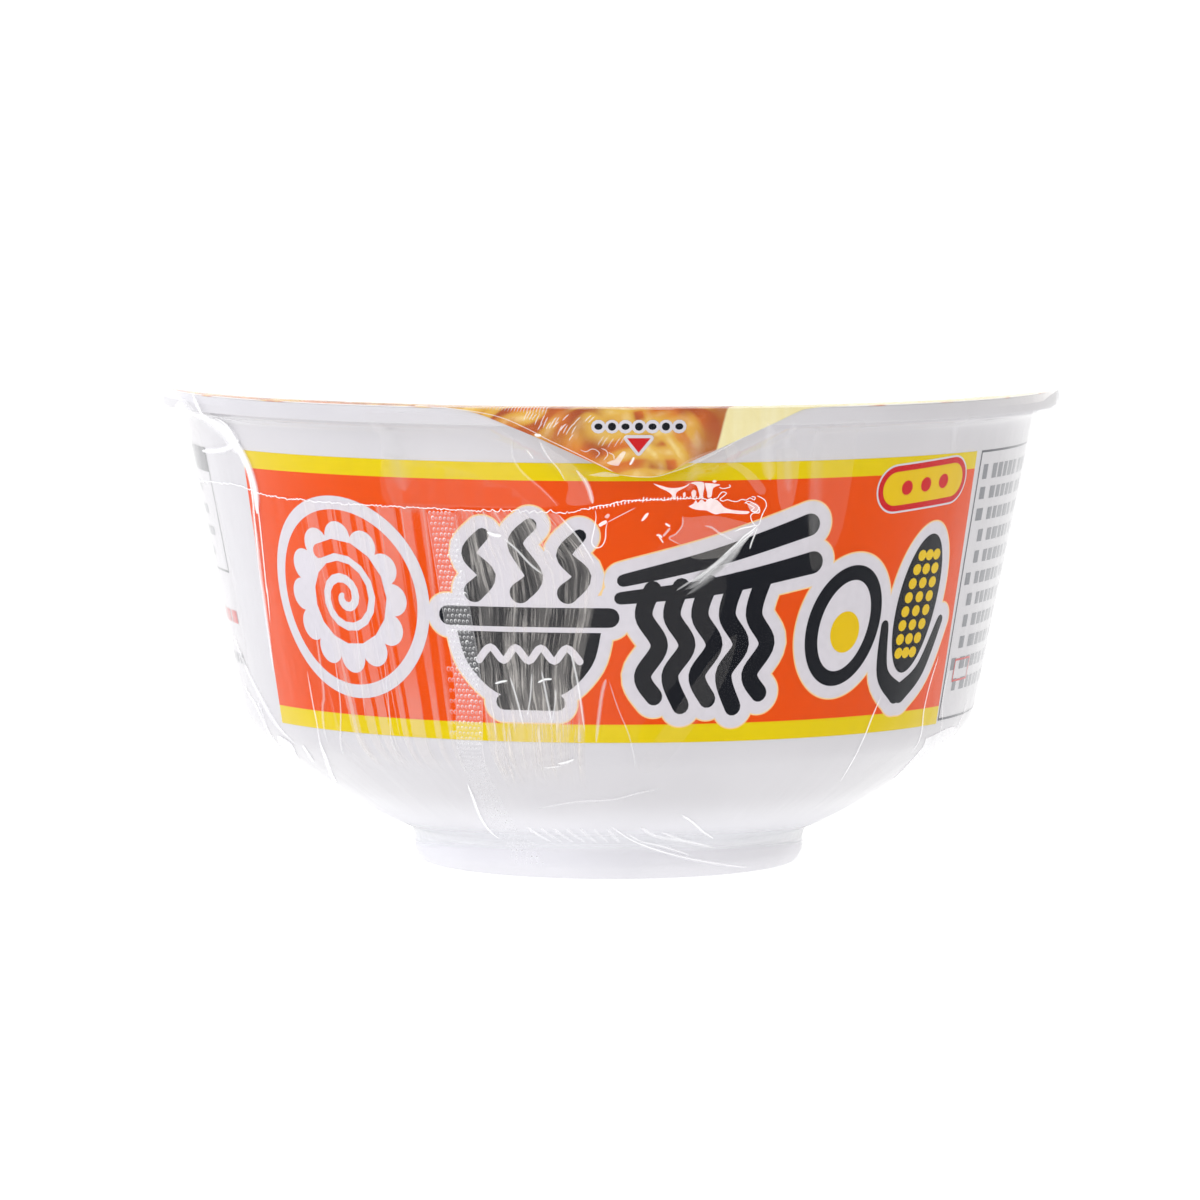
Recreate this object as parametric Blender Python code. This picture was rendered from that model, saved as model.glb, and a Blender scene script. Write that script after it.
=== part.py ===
"""Shrink-wrapped instant noodle bowl, shut: a white moulded bowl on a low foot, a sealed paper
lid whose pull tab is folded down over the rim, and a clear film shrunk round both.

Units are metres, +Z is up, and the origin is on the bowl's axis where the foot stands.
The pull tab is at the front, towards -Y, turned a little to +X.
"""

import math

import bmesh
import bpy
from mathutils import Matrix, Vector
from mathutils.geometry import interpolate_bezier

MM = 0.001

# Driving sizes of the bowl
RIM_RADIUS = 70.3 * MM
RIM_TOP = 74.7 * MM
LIP_HEIGHT = 2.1 * MM
WALL_TOP_RADIUS = 67.0 * MM
WALL_LEAN = math.radians(11.14)
SHOULDER_HEIGHT = 22.2 * MM
SHOULDER_ROUNDING = 9.0 * MM
BELLY_LEAN = math.radians(51.5)
BELLY_REACH = 21.9 * MM
NECK_RADIUS = 29.3 * MM
NECK_HEIGHT = 5.0 * MM
FOOT_RADIUS = 30.6 * MM
FOOT_BASE_RADIUS = 29.9 * MM
FOOT_TOP = 2.3 * MM
FOOT_RING_WIDTH = 3.4 * MM
RECESS_DEPTH = 1.6 * MM
EDGE_ROUNDING = 0.4 * MM

# The lid and its pull tab
PAPER = 0.35 * MM
TAB_TURN = math.radians(3.8)
TAB_HALF_WIDTH = 25.6 * MM
TAB_FLANK = math.radians(24.3)
TAB_TIP_ROUNDING = 11.3 * MM
TAB_LEAN = math.radians(12.0)
TAB_ROWS = 5

# The shrink film, thicker than the real one so that it holds as a solid
FILM = 0.15 * MM
FILM_LIFT = 0.3 * MM
FILM_RIM_RADIUS = 71.3 * MM
FILM_TUCK_HEIGHT = 60.0 * MM
FILM_TENT_FOOT = 52.0 * MM
FILM_HEM = 0.1 * MM

# Pieces that touch keep this gap
GAP = 0.3 * MM

SEGMENTS = 72
LID_SEGMENTS = 144


# Small geometry helpers


def unit(angle):
    """The direction that leans outwards from straight up by this angle, in the (radius, height) plane."""
    return Vector((math.sin(angle), math.cos(angle)))


def arc(centre, radius, start, end, steps):
    """Points on an arc in the (radius, height) plane; angles are counted from +radius towards +height."""
    turn = (end - start) / steps
    return [
        centre + radius * Vector((math.cos(start + turn * i), math.sin(start + turn * i)))
        for i in range(steps + 1)
    ]


def smooth_step(value):
    """0 below 0, 1 above 1, and a soft S between."""
    share = min(max(value, 0.0), 1.0)
    return share * share * (3.0 - 2.0 * share)


def offset_outline(points, distance):
    """The outline moved outwards, to the right of its own direction of travel."""
    moved = []
    last = len(points) - 1
    for index, point in enumerate(points):
        along = points[min(index + 1, last)] - points[max(index - 1, 0)]
        along.normalize()
        moved.append(point + distance * Vector((along.y, -along.x)))
    return moved


# Outlines in the (radius, height) plane, from the foot upwards


def wall_radius(height):
    """Outer radius of the straight wall at a height."""
    below_lip = RIM_TOP - LIP_HEIGHT - height
    return WALL_TOP_RADIUS - below_lip * math.tan(WALL_LEAN)


def foot_outline():
    """The foot from its base to the neck above it."""
    return [
        Vector((FOOT_BASE_RADIUS - EDGE_ROUNDING, 0.0)),
        Vector((FOOT_BASE_RADIUS, EDGE_ROUNDING)),
        Vector((FOOT_RADIUS, FOOT_TOP - EDGE_ROUNDING)),
        Vector((FOOT_RADIUS - EDGE_ROUNDING, FOOT_TOP)),
        Vector((NECK_RADIUS + EDGE_ROUNDING, FOOT_TOP + 0.8 * MM)),
        Vector((NECK_RADIUS, NECK_HEIGHT - EDGE_ROUNDING)),
    ]


def belly_outline():
    """The rounded belly from the neck to the shoulder, and the shoulder's own rounding."""
    corner = Vector((wall_radius(SHOULDER_HEIGHT), SHOULDER_HEIGHT))
    turn = BELLY_LEAN - WALL_LEAN
    tangent = SHOULDER_ROUNDING * math.tan(turn / 2)
    start = corner - tangent * unit(BELLY_LEAN)
    control = corner - BELLY_REACH * unit(BELLY_LEAN)
    neck = Vector((NECK_RADIUS + EDGE_ROUNDING, NECK_HEIGHT + EDGE_ROUNDING))
    belly = interpolate_bezier(
        neck.to_3d(),
        neck.lerp(control, 2 / 3).to_3d(),
        start.lerp(control, 2 / 3).to_3d(),
        start.to_3d(),
        9,
    )
    inward = Vector((-math.cos(BELLY_LEAN), math.sin(BELLY_LEAN)))
    shoulder = arc(
        start + SHOULDER_ROUNDING * inward,
        SHOULDER_ROUNDING,
        -BELLY_LEAN,
        -WALL_LEAN,
        4,
    )
    return [point.to_2d() for point in belly[:-1]] + shoulder


def lip_outline():
    """The flange round the top, from where the wall meets it to the flat top."""
    under = RIM_TOP - LIP_HEIGHT
    return [
        Vector((WALL_TOP_RADIUS, under)),
        Vector((WALL_TOP_RADIUS + 0.6 * MM, under + 0.35 * MM)),
        Vector((RIM_RADIUS - 0.8 * MM, under + 0.35 * MM)),
        Vector((RIM_RADIUS - EDGE_ROUNDING, under)),
        Vector((RIM_RADIUS, under + EDGE_ROUNDING)),
        Vector((RIM_RADIUS, RIM_TOP - EDGE_ROUNDING)),
        Vector((RIM_RADIUS - EDGE_ROUNDING, RIM_TOP)),
    ]


def underside_outline():
    """The base inside the foot ring, from the axis outwards."""
    ring = FOOT_BASE_RADIUS - FOOT_RING_WIDTH
    return [
        Vector((0.0, RECESS_DEPTH)),
        Vector((ring - 1.2 * MM, RECESS_DEPTH)),
        Vector((ring, 0.0)),
    ]


def tuck_outline():
    """The film where it leaves the wall and swings out to the underside of the lip."""
    lift = FILM_LIFT / math.cos(WALL_LEAN)
    leaves = Vector((wall_radius(FILM_TUCK_HEIGHT) + lift, FILM_TUCK_HEIGHT))
    lip_foot = Vector((FILM_RIM_RADIUS, RIM_TOP - LIP_HEIGHT))
    curve = interpolate_bezier(
        leaves.to_3d(),
        (leaves + 8.0 * MM * unit(WALL_LEAN)).to_3d(),
        (lip_foot + Vector((-2.6, -1.4)) * MM).to_3d(),
        lip_foot.to_3d(),
        7,
    )
    return [point.to_2d() for point in curve]


def film_outline():
    """The film's inner face, from its hem beside the foot to the middle of the top."""
    foot = [
        Vector((FOOT_BASE_RADIUS + FILM_LIFT, FILM_HEM)),
        Vector((FOOT_RADIUS + FILM_LIFT, FOOT_TOP)),
    ]
    belly = offset_outline(belly_outline(), FILM_LIFT)
    belly = [point for point in belly if point.x > FOOT_RADIUS]
    top = RIM_TOP + GAP + PAPER + FILM_LIFT
    corner = Vector((FILM_RIM_RADIUS - EDGE_ROUNDING, top - EDGE_ROUNDING))
    rim = arc(corner, EDGE_ROUNDING, 0.0, math.pi / 2, 2)
    flat = [Vector((RIM_RADIUS * 0.5, top)), Vector((0.0, top))]
    return foot + belly + tuck_outline() + rim + flat


# The pull tab


def tab_depth(along):
    """How far the tab hangs below the fold at this distance from its middle, measured along the rim."""
    flank = (TAB_HALF_WIDTH - abs(along)) * math.tan(TAB_FLANK)
    tip_reach = TAB_TIP_ROUNDING * math.sin(TAB_FLANK)
    if abs(along) >= tip_reach:
        return max(flank, 0.0)
    tip_start = (TAB_HALF_WIDTH - tip_reach) * math.tan(TAB_FLANK)
    rise = math.sqrt(TAB_TIP_ROUNDING**2 - along**2) - TAB_TIP_ROUNDING * math.cos(TAB_FLANK)
    return tip_start + rise


def tab_radius(height):
    """Radius of the tab's inner face: upright past the lip, then leaning in towards the wall."""
    below_lip = max(RIM_TOP - LIP_HEIGHT - height, 0.0)
    return RIM_RADIUS + GAP - below_lip * math.tan(TAB_LEAN)


def from_tab(point):
    """Angle of a point round the axis, counted from the middle of the tab."""
    return abs(math.atan2(point.x, -point.y))


def tab_clearance(point):
    """The point moved outwards, where it has to be, so that the film passes over the tab."""
    radius = math.hypot(point.x, point.y)
    fold = RIM_TOP + GAP
    tip = fold - tab_depth(0.0)
    if point.z > RIM_TOP or point.z < FILM_TENT_FOOT:
        return point
    if point.z > tip:
        needed = tab_radius(point.z) + PAPER + FILM_LIFT
    else:
        share = (point.z - FILM_TENT_FOOT) / (tip - FILM_TENT_FOOT)
        needed = radius + (tab_radius(tip) + PAPER + FILM_LIFT - wall_radius(tip)) * share**2
    half_width = TAB_HALF_WIDTH - max(fold - point.z, 0.0) / math.tan(TAB_FLANK)
    margin = 4.5 * MM
    fade = 11.0 * MM
    outside = from_tab(point) * RIM_RADIUS - max(half_width, 0.0) - margin
    share = 1.0 - smooth_step(outside / fade)
    stretch = 1.0 + max(needed - radius, 0.0) * share / radius
    return Vector((point.x * stretch, point.y * stretch, point.z))


# Building the solids


def plastic(name, colour, roughness, alpha=1.0):
    """A plain Principled material."""
    material = bpy.data.materials.new(name)
    material.use_nodes = True
    shader = material.node_tree.nodes["Principled BSDF"]
    shader.inputs["Base Color"].default_value = (*colour, 1.0)
    shader.inputs["Roughness"].default_value = roughness
    shader.inputs["Alpha"].default_value = alpha
    material.diffuse_color = (*colour, alpha)
    return material


def add_object(name, bm, material, parent):
    """A mesh object from a finished bmesh, smooth except at its sharp edges."""
    mesh = bpy.data.meshes.new(name)
    bm.to_mesh(mesh)
    bm.free()
    mesh.shade_smooth()
    mesh.set_sharp_from_angle(angle=math.radians(35))
    mesh.materials.append(material)
    obj = bpy.data.objects.new(name, mesh)
    bpy.context.scene.collection.objects.link(obj)
    obj.parent = parent
    return obj


def spun(outline):
    """A closed bmesh made by spinning an outline round the Z axis."""
    bm = bmesh.new()
    verts = [bm.verts.new((point.x, 0.0, point.y)) for point in outline]
    edges = [bm.edges.new(pair) for pair in zip(verts, verts[1:])]
    bmesh.ops.spin(
        bm,
        geom=verts + edges,
        cent=(0, 0, 0),
        axis=(0, 0, 1),
        angle=2 * math.pi,
        steps=SEGMENTS,
        use_merge=True,
    )
    bmesh.ops.remove_doubles(bm, verts=bm.verts, dist=0.001 * MM)
    bmesh.ops.recalc_face_normals(bm, faces=bm.faces)
    return bm


def build_bowl(parent):
    """The shut bowl, one solid up to its flat top, with a recess inside the foot ring."""
    outline = underside_outline() + foot_outline() + belly_outline() + lip_outline()
    outline.append(Vector((0.0, RIM_TOP)))
    white = plastic("white moulded bowl", (0.86, 0.86, 0.88), 0.35)
    return add_object("bowl", spun(outline), white, parent)


def build_lid(parent):
    """The paper lid: a disc on the rim whose front edge is drawn out and folded down as the tab."""
    bm = bmesh.new()
    edge_radius = RIM_RADIUS + GAP
    fold = RIM_TOP + GAP
    bmesh.ops.create_circle(
        bm,
        cap_ends=True,
        segments=LID_SEGMENTS,
        radius=edge_radius,
        matrix=Matrix.Translation((0, 0, fold)),
    )
    bmesh.ops.recalc_face_normals(bm, faces=bm.faces)
    if bm.faces[:][0].normal.z < 0:
        bmesh.ops.reverse_faces(bm, faces=bm.faces)

    def hangs(vert):
        return from_tab(vert.co) * edge_radius < TAB_HALF_WIDTH

    row = [edge for edge in bm.edges if any(hangs(vert) for vert in edge.verts)]
    for step in range(1, TAB_ROWS + 1):
        made = bmesh.ops.extrude_edge_only(bm, edges=row)["geom"]
        row = [part for part in made if isinstance(part, bmesh.types.BMEdge)]
        for vert in (part for part in made if isinstance(part, bmesh.types.BMVert)):
            depth = tab_depth(from_tab(vert.co) * edge_radius) * step / TAB_ROWS
            spot = Vector((vert.co.x, vert.co.y, 0.0)).normalized()
            vert.co = spot * tab_radius(fold - depth) + Vector((0, 0, fold - depth))
    bmesh.ops.remove_doubles(bm, verts=bm.verts, dist=0.01 * MM)
    bmesh.ops.recalc_face_normals(bm, faces=bm.faces)
    paper = plastic("printed paper lid", (0.86, 0.32, 0.06), 0.3)
    lid = add_object("lid", bm, paper, parent)
    thickness = lid.modifiers.new("paper", "SOLIDIFY")
    thickness.thickness = PAPER
    thickness.offset = 1.0
    lid.rotation_euler.z = TAB_TURN
    return lid


def build_film(parent):
    """The shrink film, a thin shell from its hem beside the foot, up over the rim and the lid."""
    inner = film_outline()
    outer = offset_outline(inner, FILM)
    outer[0].y = inner[0].y
    outer[-1] = Vector((0.0, inner[-1].y + FILM))
    outline = inner[::-1] + outer
    bm = spun(outline)
    for vert in bm.verts:
        vert.co = tab_clearance(vert.co)
    bmesh.ops.recalc_face_normals(bm, faces=bm.faces)
    clear = plastic("clear shrink film", (0.95, 0.96, 1.0), 0.08, alpha=0.12)
    film = add_object("film", bm, clear, parent)
    film.rotation_euler.z = TAB_TURN
    return film


def main():
    for obj in list(bpy.data.objects):
        bpy.data.objects.remove(obj)
    root = bpy.data.objects.new("wrapped_noodle_bowl", None)
    bpy.context.scene.collection.objects.link(root)
    build_bowl(root)
    build_lid(root)
    build_film(root)


main()
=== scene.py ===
"""The looks of a shut, shrink-wrapped instant noodle bowl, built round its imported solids.

Everything is in metres, with +Z up and the bowl's axis at the origin. The front is towards -Y.
A place on the bowl is given by its turn, the angle from the front towards +X, and its height.
"""

from __future__ import annotations

import enum
import logging
import math
from collections.abc import Callable, Sequence
from dataclasses import dataclass, field

import bmesh
import bpy
from mathutils import Matrix, Vector, noise
from mathutils.geometry import delaunay_2d_cdt, interpolate_bezier


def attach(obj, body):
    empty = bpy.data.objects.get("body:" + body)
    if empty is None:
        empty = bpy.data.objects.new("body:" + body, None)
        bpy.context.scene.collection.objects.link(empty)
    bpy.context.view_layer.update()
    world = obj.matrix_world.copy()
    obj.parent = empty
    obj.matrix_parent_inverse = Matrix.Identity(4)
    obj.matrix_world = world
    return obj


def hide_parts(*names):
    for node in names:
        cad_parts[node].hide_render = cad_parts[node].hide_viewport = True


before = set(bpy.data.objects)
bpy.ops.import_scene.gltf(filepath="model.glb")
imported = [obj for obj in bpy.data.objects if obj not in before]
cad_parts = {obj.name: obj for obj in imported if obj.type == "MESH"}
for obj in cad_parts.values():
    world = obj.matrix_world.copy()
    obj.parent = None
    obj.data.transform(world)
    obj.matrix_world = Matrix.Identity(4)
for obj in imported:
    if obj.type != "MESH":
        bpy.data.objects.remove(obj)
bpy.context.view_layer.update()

MM = 0.001
PRINT_RADIUS = 62.0 * MM
LOG = logging.getLogger("noodle_bowl")

Pair = tuple[float, float]
Colour = tuple[float, float, float]


# Small helpers


def around(radius: float, turn: float, height: float) -> Vector:
    """A point at a radius, a turn from the front towards +X, and a height.

    Args:
        radius: Distance from the bowl's axis.
        turn: Angle from the front, in radians.
        height: Height above the foot.

    Returns:
        The point.
    """
    return Vector((radius * math.sin(turn), -radius * math.cos(turn), height))


def ease(value: float, low: float = 0.0, high: float = 1.0) -> float:
    """A soft step between two values.

    Args:
        value: What is measured.
        low: Where the step starts, and the result is 0.
        high: Where the step ends, and the result is 1. It may lie below low.

    Returns:
        A number from 0 to 1.
    """
    share = min(max((value - low) / (high - low), 0.0), 1.0)
    return share * share * (3.0 - 2.0 * share)


def wobble(x: float, y: float, seed: float = 0.0) -> float:
    """Smooth noise from about -1 to 1 at a place in a plane; each seed gives another pattern."""
    return noise.noise(Vector((x, y, seed)))


def pairs(text: str) -> list[Pair]:
    """Reads pairs of numbers from text, with a comma in each pair and a space between two."""
    return [tuple(map(float, pair.split(","))) for pair in text.split()]


def bend(points: Sequence[Pair], steps: int) -> list[Vector]:
    """A smooth path through a few points.

    Args:
        points: The points that the path goes through, in order.
        steps: How many pieces each stretch between two points is cut into.

    Returns:
        The points of the path.
    """
    spots = [Vector(point).to_3d() for point in points]
    path: list[Vector] = [spots[0].to_2d()]
    for index in range(len(spots) - 1):
        before = spots[max(index - 1, 0)]
        start = spots[index]
        end = spots[index + 1]
        after = spots[min(index + 2, len(spots) - 1)]
        curve = interpolate_bezier(
            start,
            start + (end - before) / 6.0,
            end - (after - start) / 6.0,
            end,
            steps + 1,
        )
        path.extend(point.to_2d() for point in curve[1:])
    return path


def finish_piece(
    name: str,
    bm: bmesh.types.BMesh,
    material: bpy.types.Material,
    replaced: Sequence[str] = (),
    sharp: float = 40.0,
) -> None:
    """Turns a finished bmesh into a piece of the object that rides with the bowl.

    Args:
        name: The piece's name.
        bm: Its mesh, in place. It is freed.
        material: Its only material.
        replaced: The CAD nodes that it stands for.
        sharp: Edges over this angle, in degrees, stay sharp.
    """
    mesh = bpy.data.meshes.new(name)
    bm.to_mesh(mesh)
    bm.free()
    mesh.shade_smooth()
    mesh.set_sharp_from_angle(angle=math.radians(sharp))
    mesh.materials.append(material)
    piece = bpy.data.objects.new(name, mesh)
    bpy.context.scene.collection.objects.link(piece)
    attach(piece, "root")
    if replaced:
        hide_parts(*replaced)
    LOG.info("%s: %d faces", name, len(mesh.polygons))


def spun(outline: Sequence[Vector], steps: int) -> bmesh.types.BMesh:
    """A mesh made by spinning an outline of (radius, height) points round the bowl's axis.

    Args:
        outline: The outline, as 2-D points.
        steps: Steps in the full turn.

    Returns:
        The mesh, merged and with its faces pointing outwards.
    """
    bm = bmesh.new()
    verts = [bm.verts.new(around(point.x, 0.0, point.y)) for point in outline]
    edges = [bm.edges.new(pair) for pair in zip(verts, verts[1:])]
    bmesh.ops.spin(
        bm,
        geom=verts + edges,
        cent=(0, 0, 0),
        axis=(0, 0, 1),
        angle=2 * math.pi,
        steps=steps,
        use_merge=True,
    )
    bmesh.ops.remove_doubles(bm, verts=bm.verts, dist=0.0005 * MM)
    bmesh.ops.recalc_face_normals(bm, faces=bm.faces)
    return bm


def linear(red: int, green: int, blue: int) -> Colour:
    """A linear colour from its screen values.

    Args:
        red: Red, from 0 to 255.
        green: Green, from 0 to 255.
        blue: Blue, from 0 to 255.

    Returns:
        The colour.
    """
    parts = (value / 255.0 for value in (red, green, blue))
    return tuple(
        part / 12.92 if part <= 0.04045 else ((part + 0.055) / 1.055) ** 2.4 for part in parts
    )


# Shader maths


class Channel:
    """A number that varies over a surface, so that maths on it reads as Python."""

    def __init__(self, bench: Bench, socket: bpy.types.NodeSocket) -> None:
        """Keeps the socket that gives the number, and the bench that adds nodes to it."""
        self.bench = bench
        self.socket = socket

    def _with(self, operation: str, *others: Channel | float) -> Channel:
        """Adds a Math node after this number.

        Args:
            operation: The node's operation.
            others: Its other inputs.

        Returns:
            The node's result.
        """
        return self.bench.math(operation, self, *others)

    def __add__(self, other: Channel | float) -> Channel:
        """The sum."""
        return self._with("ADD", other)

    def __radd__(self, other: float) -> Channel:
        """The sum, with the number on the left."""
        return self._with("ADD", other)

    def __sub__(self, other: Channel | float) -> Channel:
        """The difference."""
        return self._with("SUBTRACT", other)

    def __rsub__(self, other: float) -> Channel:
        """The difference, with the number on the left."""
        return self.bench.math("SUBTRACT", other, self)

    def __mul__(self, other: Channel | float) -> Channel:
        """The product."""
        return self._with("MULTIPLY", other)

    def __rmul__(self, other: float) -> Channel:
        """The product, with the number on the left."""
        return self._with("MULTIPLY", other)

    def __truediv__(self, other: Channel | float) -> Channel:
        """The quotient."""
        return self._with("DIVIDE", other)

    def __neg__(self) -> Channel:
        """The number with its sign turned."""
        return self._with("MULTIPLY", -1.0)

    def __abs__(self) -> Channel:
        """The number without its sign."""
        return self._with("ABSOLUTE")

    def fraction(self) -> Channel:
        """What is left after its whole part."""
        return self._with("FRACT")

    def step(self, low: float, high: float) -> Channel:
        """A soft step of the number.

        Args:
            low: Where the result is 0.
            high: Where the result is 1. It may lie below low.

        Returns:
            A number from 0 to 1.
        """
        settings = {"interpolation_type": "SMOOTHSTEP"}
        if high < low:
            return 1.0 - self.step(high, low)
        node = self.bench.node(
            "ShaderNodeMapRange",
            settings,
            {"Value": self, "From Min": low, "From Max": high},
        )
        return Channel(self.bench, node.outputs["Result"])


class Bench:
    """The node tree of one material or world, with short ways to add nodes to it."""

    def __init__(self, name: str, tree: bpy.types.NodeTree | None = None) -> None:
        """Makes an empty material, or empties the tree that it is given.

        Args:
            name: The material's name.
            tree: A world's node tree, which then takes the nodes.
        """
        self.material = None
        if tree is None:
            self.material = bpy.data.materials.new(name)
            self.material.use_nodes = True
            tree = self.material.node_tree
        self.tree = tree
        self.tree.nodes.clear()

    def node(
        self,
        kind: str,
        settings: dict[str, object] | None = None,
        inputs: dict[str | int, object] | None = None,
    ) -> bpy.types.Node:
        """Adds a node.

        Args:
            kind: The node's type.
            settings: Its own settings, set first.
            inputs: Values or links for its sockets, by name or place. A colour is opaque.

        Returns:
            The node.
        """
        node = self.tree.nodes.new(kind)
        for name, value in (settings or {}).items():
            setattr(node, name, value)
        for key, value in (inputs or {}).items():
            socket = node.inputs[key]
            if isinstance(value, Channel):
                value = value.socket
            if isinstance(value, tuple) and socket.type == "RGBA":
                value = (*value, 1.0)
            if isinstance(value, bpy.types.NodeSocket):
                self.tree.links.new(value, socket)
            else:
                socket.default_value = value
        return node

    def math(self, operation: str, *values: Channel | float) -> Channel:
        """Adds a Math node.

        Args:
            operation: Its operation.
            values: Its inputs in order.

        Returns:
            Its result.
        """
        node = self.node("ShaderNodeMath", {"operation": operation}, dict(enumerate(values)))
        return Channel(self, node.outputs[0])

    def place(self) -> tuple[Channel, Channel, Channel]:
        """The object coordinates, in metres."""
        coordinates = self.node("ShaderNodeTexCoord")
        split = self.node("ShaderNodeSeparateXYZ", inputs={0: coordinates.outputs["Object"]})
        return tuple(Channel(self, split.outputs[axis]) for axis in range(3))

    def attribute(self, name: str) -> Channel:
        """The value of one of the mesh's own number attributes."""
        node = self.node("ShaderNodeAttribute", {"attribute_name": name})
        return Channel(self, node.outputs["Fac"])

    def vector(self, *parts: Channel | float) -> bpy.types.NodeSocket:
        """Joins three numbers into a vector."""
        return self.node("ShaderNodeCombineXYZ", inputs=dict(enumerate(parts))).outputs[0]

    def cloud(
        self,
        where: bpy.types.NodeSocket | None,
        scale: float,
        detail: float = 2.0,
        roughness: float = 0.5,
    ) -> Channel:
        """Adds a Noise Texture.

        Args:
            where: Its coordinates, or None for the object's own.
            scale: Its scale, in waves per unit.
            detail: How many finer layers it has.
            roughness: How strong they are.

        Returns:
            Its value, from 0 to 1.
        """
        if where is None:
            where = self.node("ShaderNodeTexCoord").outputs["Object"]
        node = self.node(
            "ShaderNodeTexNoise",
            inputs={"Vector": where, "Scale": scale, "Detail": detail, "Roughness": roughness},
        )
        return Channel(self, node.outputs[0])

    def blend(
        self,
        share: Channel | float,
        first: object,
        second: object,
    ) -> bpy.types.NodeSocket:
        """Mixes two colours.

        Args:
            share: How much of the second, from 0 to 1.
            first: A colour or a link.
            second: A colour or a link.

        Returns:
            The mixed colour.
        """
        node = self.node(
            "ShaderNodeMix",
            {"data_type": "RGBA", "clamp_factor": True},
            {0: share, 6: first, 7: second},
        )
        return node.outputs[2]

    def bump(self, height: Channel, distance: float, strength: float = 1.0) -> bpy.types.NodeSocket:
        """A Bump node's normal.

        Args:
            height: The height over the surface, from 0 to 1.
            distance: What a height of 1 is, in metres.
            strength: How much of it shows.

        Returns:
            The normal.
        """
        node = self.node(
            "ShaderNodeBump",
            inputs={"Height": height, "Distance": distance, "Strength": strength},
        )
        return node.outputs[0]

    def mix(
        self,
        share: Channel,
        first: bpy.types.NodeSocket,
        second: bpy.types.NodeSocket,
    ) -> bpy.types.NodeSocket:
        """Mixes two shaders.

        Args:
            share: How much of the second, from 0 to 1.
            first: A shader.
            second: A shader.

        Returns:
            The mixed shader.
        """
        node = self.node("ShaderNodeMixShader", inputs={0: share, 1: first, 2: second})
        return node.outputs[0]

    def see_through(self, tint: Colour = (1.0, 1.0, 1.0)) -> bpy.types.NodeSocket:
        """A shader that lets everything through, with a tint."""
        return self.node("ShaderNodeBsdfTransparent", inputs={"Color": tint}).outputs[0]

    def surface(self, shader: bpy.types.NodeSocket) -> bpy.types.Material:
        """Links the last shader to the output and gives the material."""
        self.node("ShaderNodeOutputMaterial", inputs={"Surface": shader})
        return self.material

    def principled(self, **inputs: object) -> bpy.types.NodeSocket:
        """A Principled shader; an input's name has _ where the socket's has a space."""
        named = {name.replace("_", " "): value for name, value in inputs.items()}
        return self.node("ShaderNodeBsdfPrincipled", inputs=named).outputs[0]


# Finishes


@dataclass(frozen=True)
class MouldedWhite:
    """The satin white of the moulded bowl, painted lighter towards the foot as painted light for the
    light through the thin foot and from the bright floor.
    """

    colour: Colour = linear(219, 217, 220)
    lit_foot_colour: Colour = linear(239, 238, 242)
    roughness: float = 0.42

    def build(self) -> bpy.types.Material:
        """The material: a fine moulded skin with faint cloudy variation."""
        bench = Bench("moulded_white")
        clouds = bench.cloud(None, 60.0, 3.0)
        grain = bench.cloud(None, 2600.0, 2.0)
        height = bench.place()[2]
        # Painted light: below 15 mm the bowl is painted lighter towards the foot, standing in for light
        # through the thin foot and from the floor.
        thin = height.step(15.0 * MM, 8.0 * MM)
        white = bench.blend(thin, self.colour, self.lit_foot_colour)
        dim = bench.blend(clouds.step(0.35, 0.7) * 0.04, white, (0.0, 0.0, 0.0))
        shader = bench.principled(
            Base_Color=dim,
            Roughness=self.roughness + clouds * 0.08,
            Normal=bench.bump(grain, 0.012 * MM),
        )
        return bench.surface(shader)


@dataclass(frozen=True)
class PrintInk:
    """One flat printed colour on the bowl's wall or the lid."""

    name: str
    colour: Colour
    roughness: float = 0.3

    def build(self) -> bpy.types.Material:
        """The material: even ink with a faint mottle and the bowl's grain below it."""
        bench = Bench(self.name)
        mottle = bench.cloud(None, 900.0, 2.0)
        broad = bench.cloud(None, 45.0, 1.0)
        dim = tuple(part * 0.93 for part in self.colour)
        share = mottle * 0.5 + broad * 0.5
        shader = bench.principled(
            Base_Color=bench.blend(share.step(0.35, 0.7), self.colour, dim),
            Roughness=self.roughness + mottle * 0.06,
            Specular_IOR_Level=0.06,
            Normal=bench.bump(mottle, 0.004 * MM),
        )
        return bench.surface(shader)


class Ink(enum.Enum):
    """The inks of the print, with the height in mm at which each lies over the surface."""

    ORANGE = ("ink_orange", (239, 83, 9), 0.030)
    YELLOW = ("ink_yellow", (235, 209, 6), 0.030)
    GREY = ("ink_grey", (128, 130, 136), 0.030)
    DARK_GREY = ("ink_dark_grey", (84, 86, 94), 0.034)
    PALE = ("ink_pale_edge", (252, 214, 150), 0.045)
    WHITE = ("ink_white", (224, 220, 226), 0.057)
    ORANGE_TOP = ("ink_orange_top", (239, 83, 9), 0.069)
    BLACK = ("ink_black", (22, 24, 31), 0.071)
    RED = ("ink_red", (212, 34, 38), 0.075)
    WHITE_TOP = ("ink_white_top", (225, 221, 227), 0.087)
    YELLOW_TOP = ("ink_yellow_top", (238, 200, 18), 0.099)
    GREEN = ("ink_green", (84, 158, 52), 0.105)
    ORANGE_SWIRL = ("ink_orange_swirl", (239, 83, 9), 0.111)
    RED_TOP = ("ink_red_top", (212, 34, 38), 0.111)

    def __init__(self, label: str, shown: tuple[int, int, int], lift: float) -> None:
        """Keeps the finish for a screen colour, and the lift in metres."""
        self.finish = PrintInk(label, linear(*shown))
        self.lift = lift * MM


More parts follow.
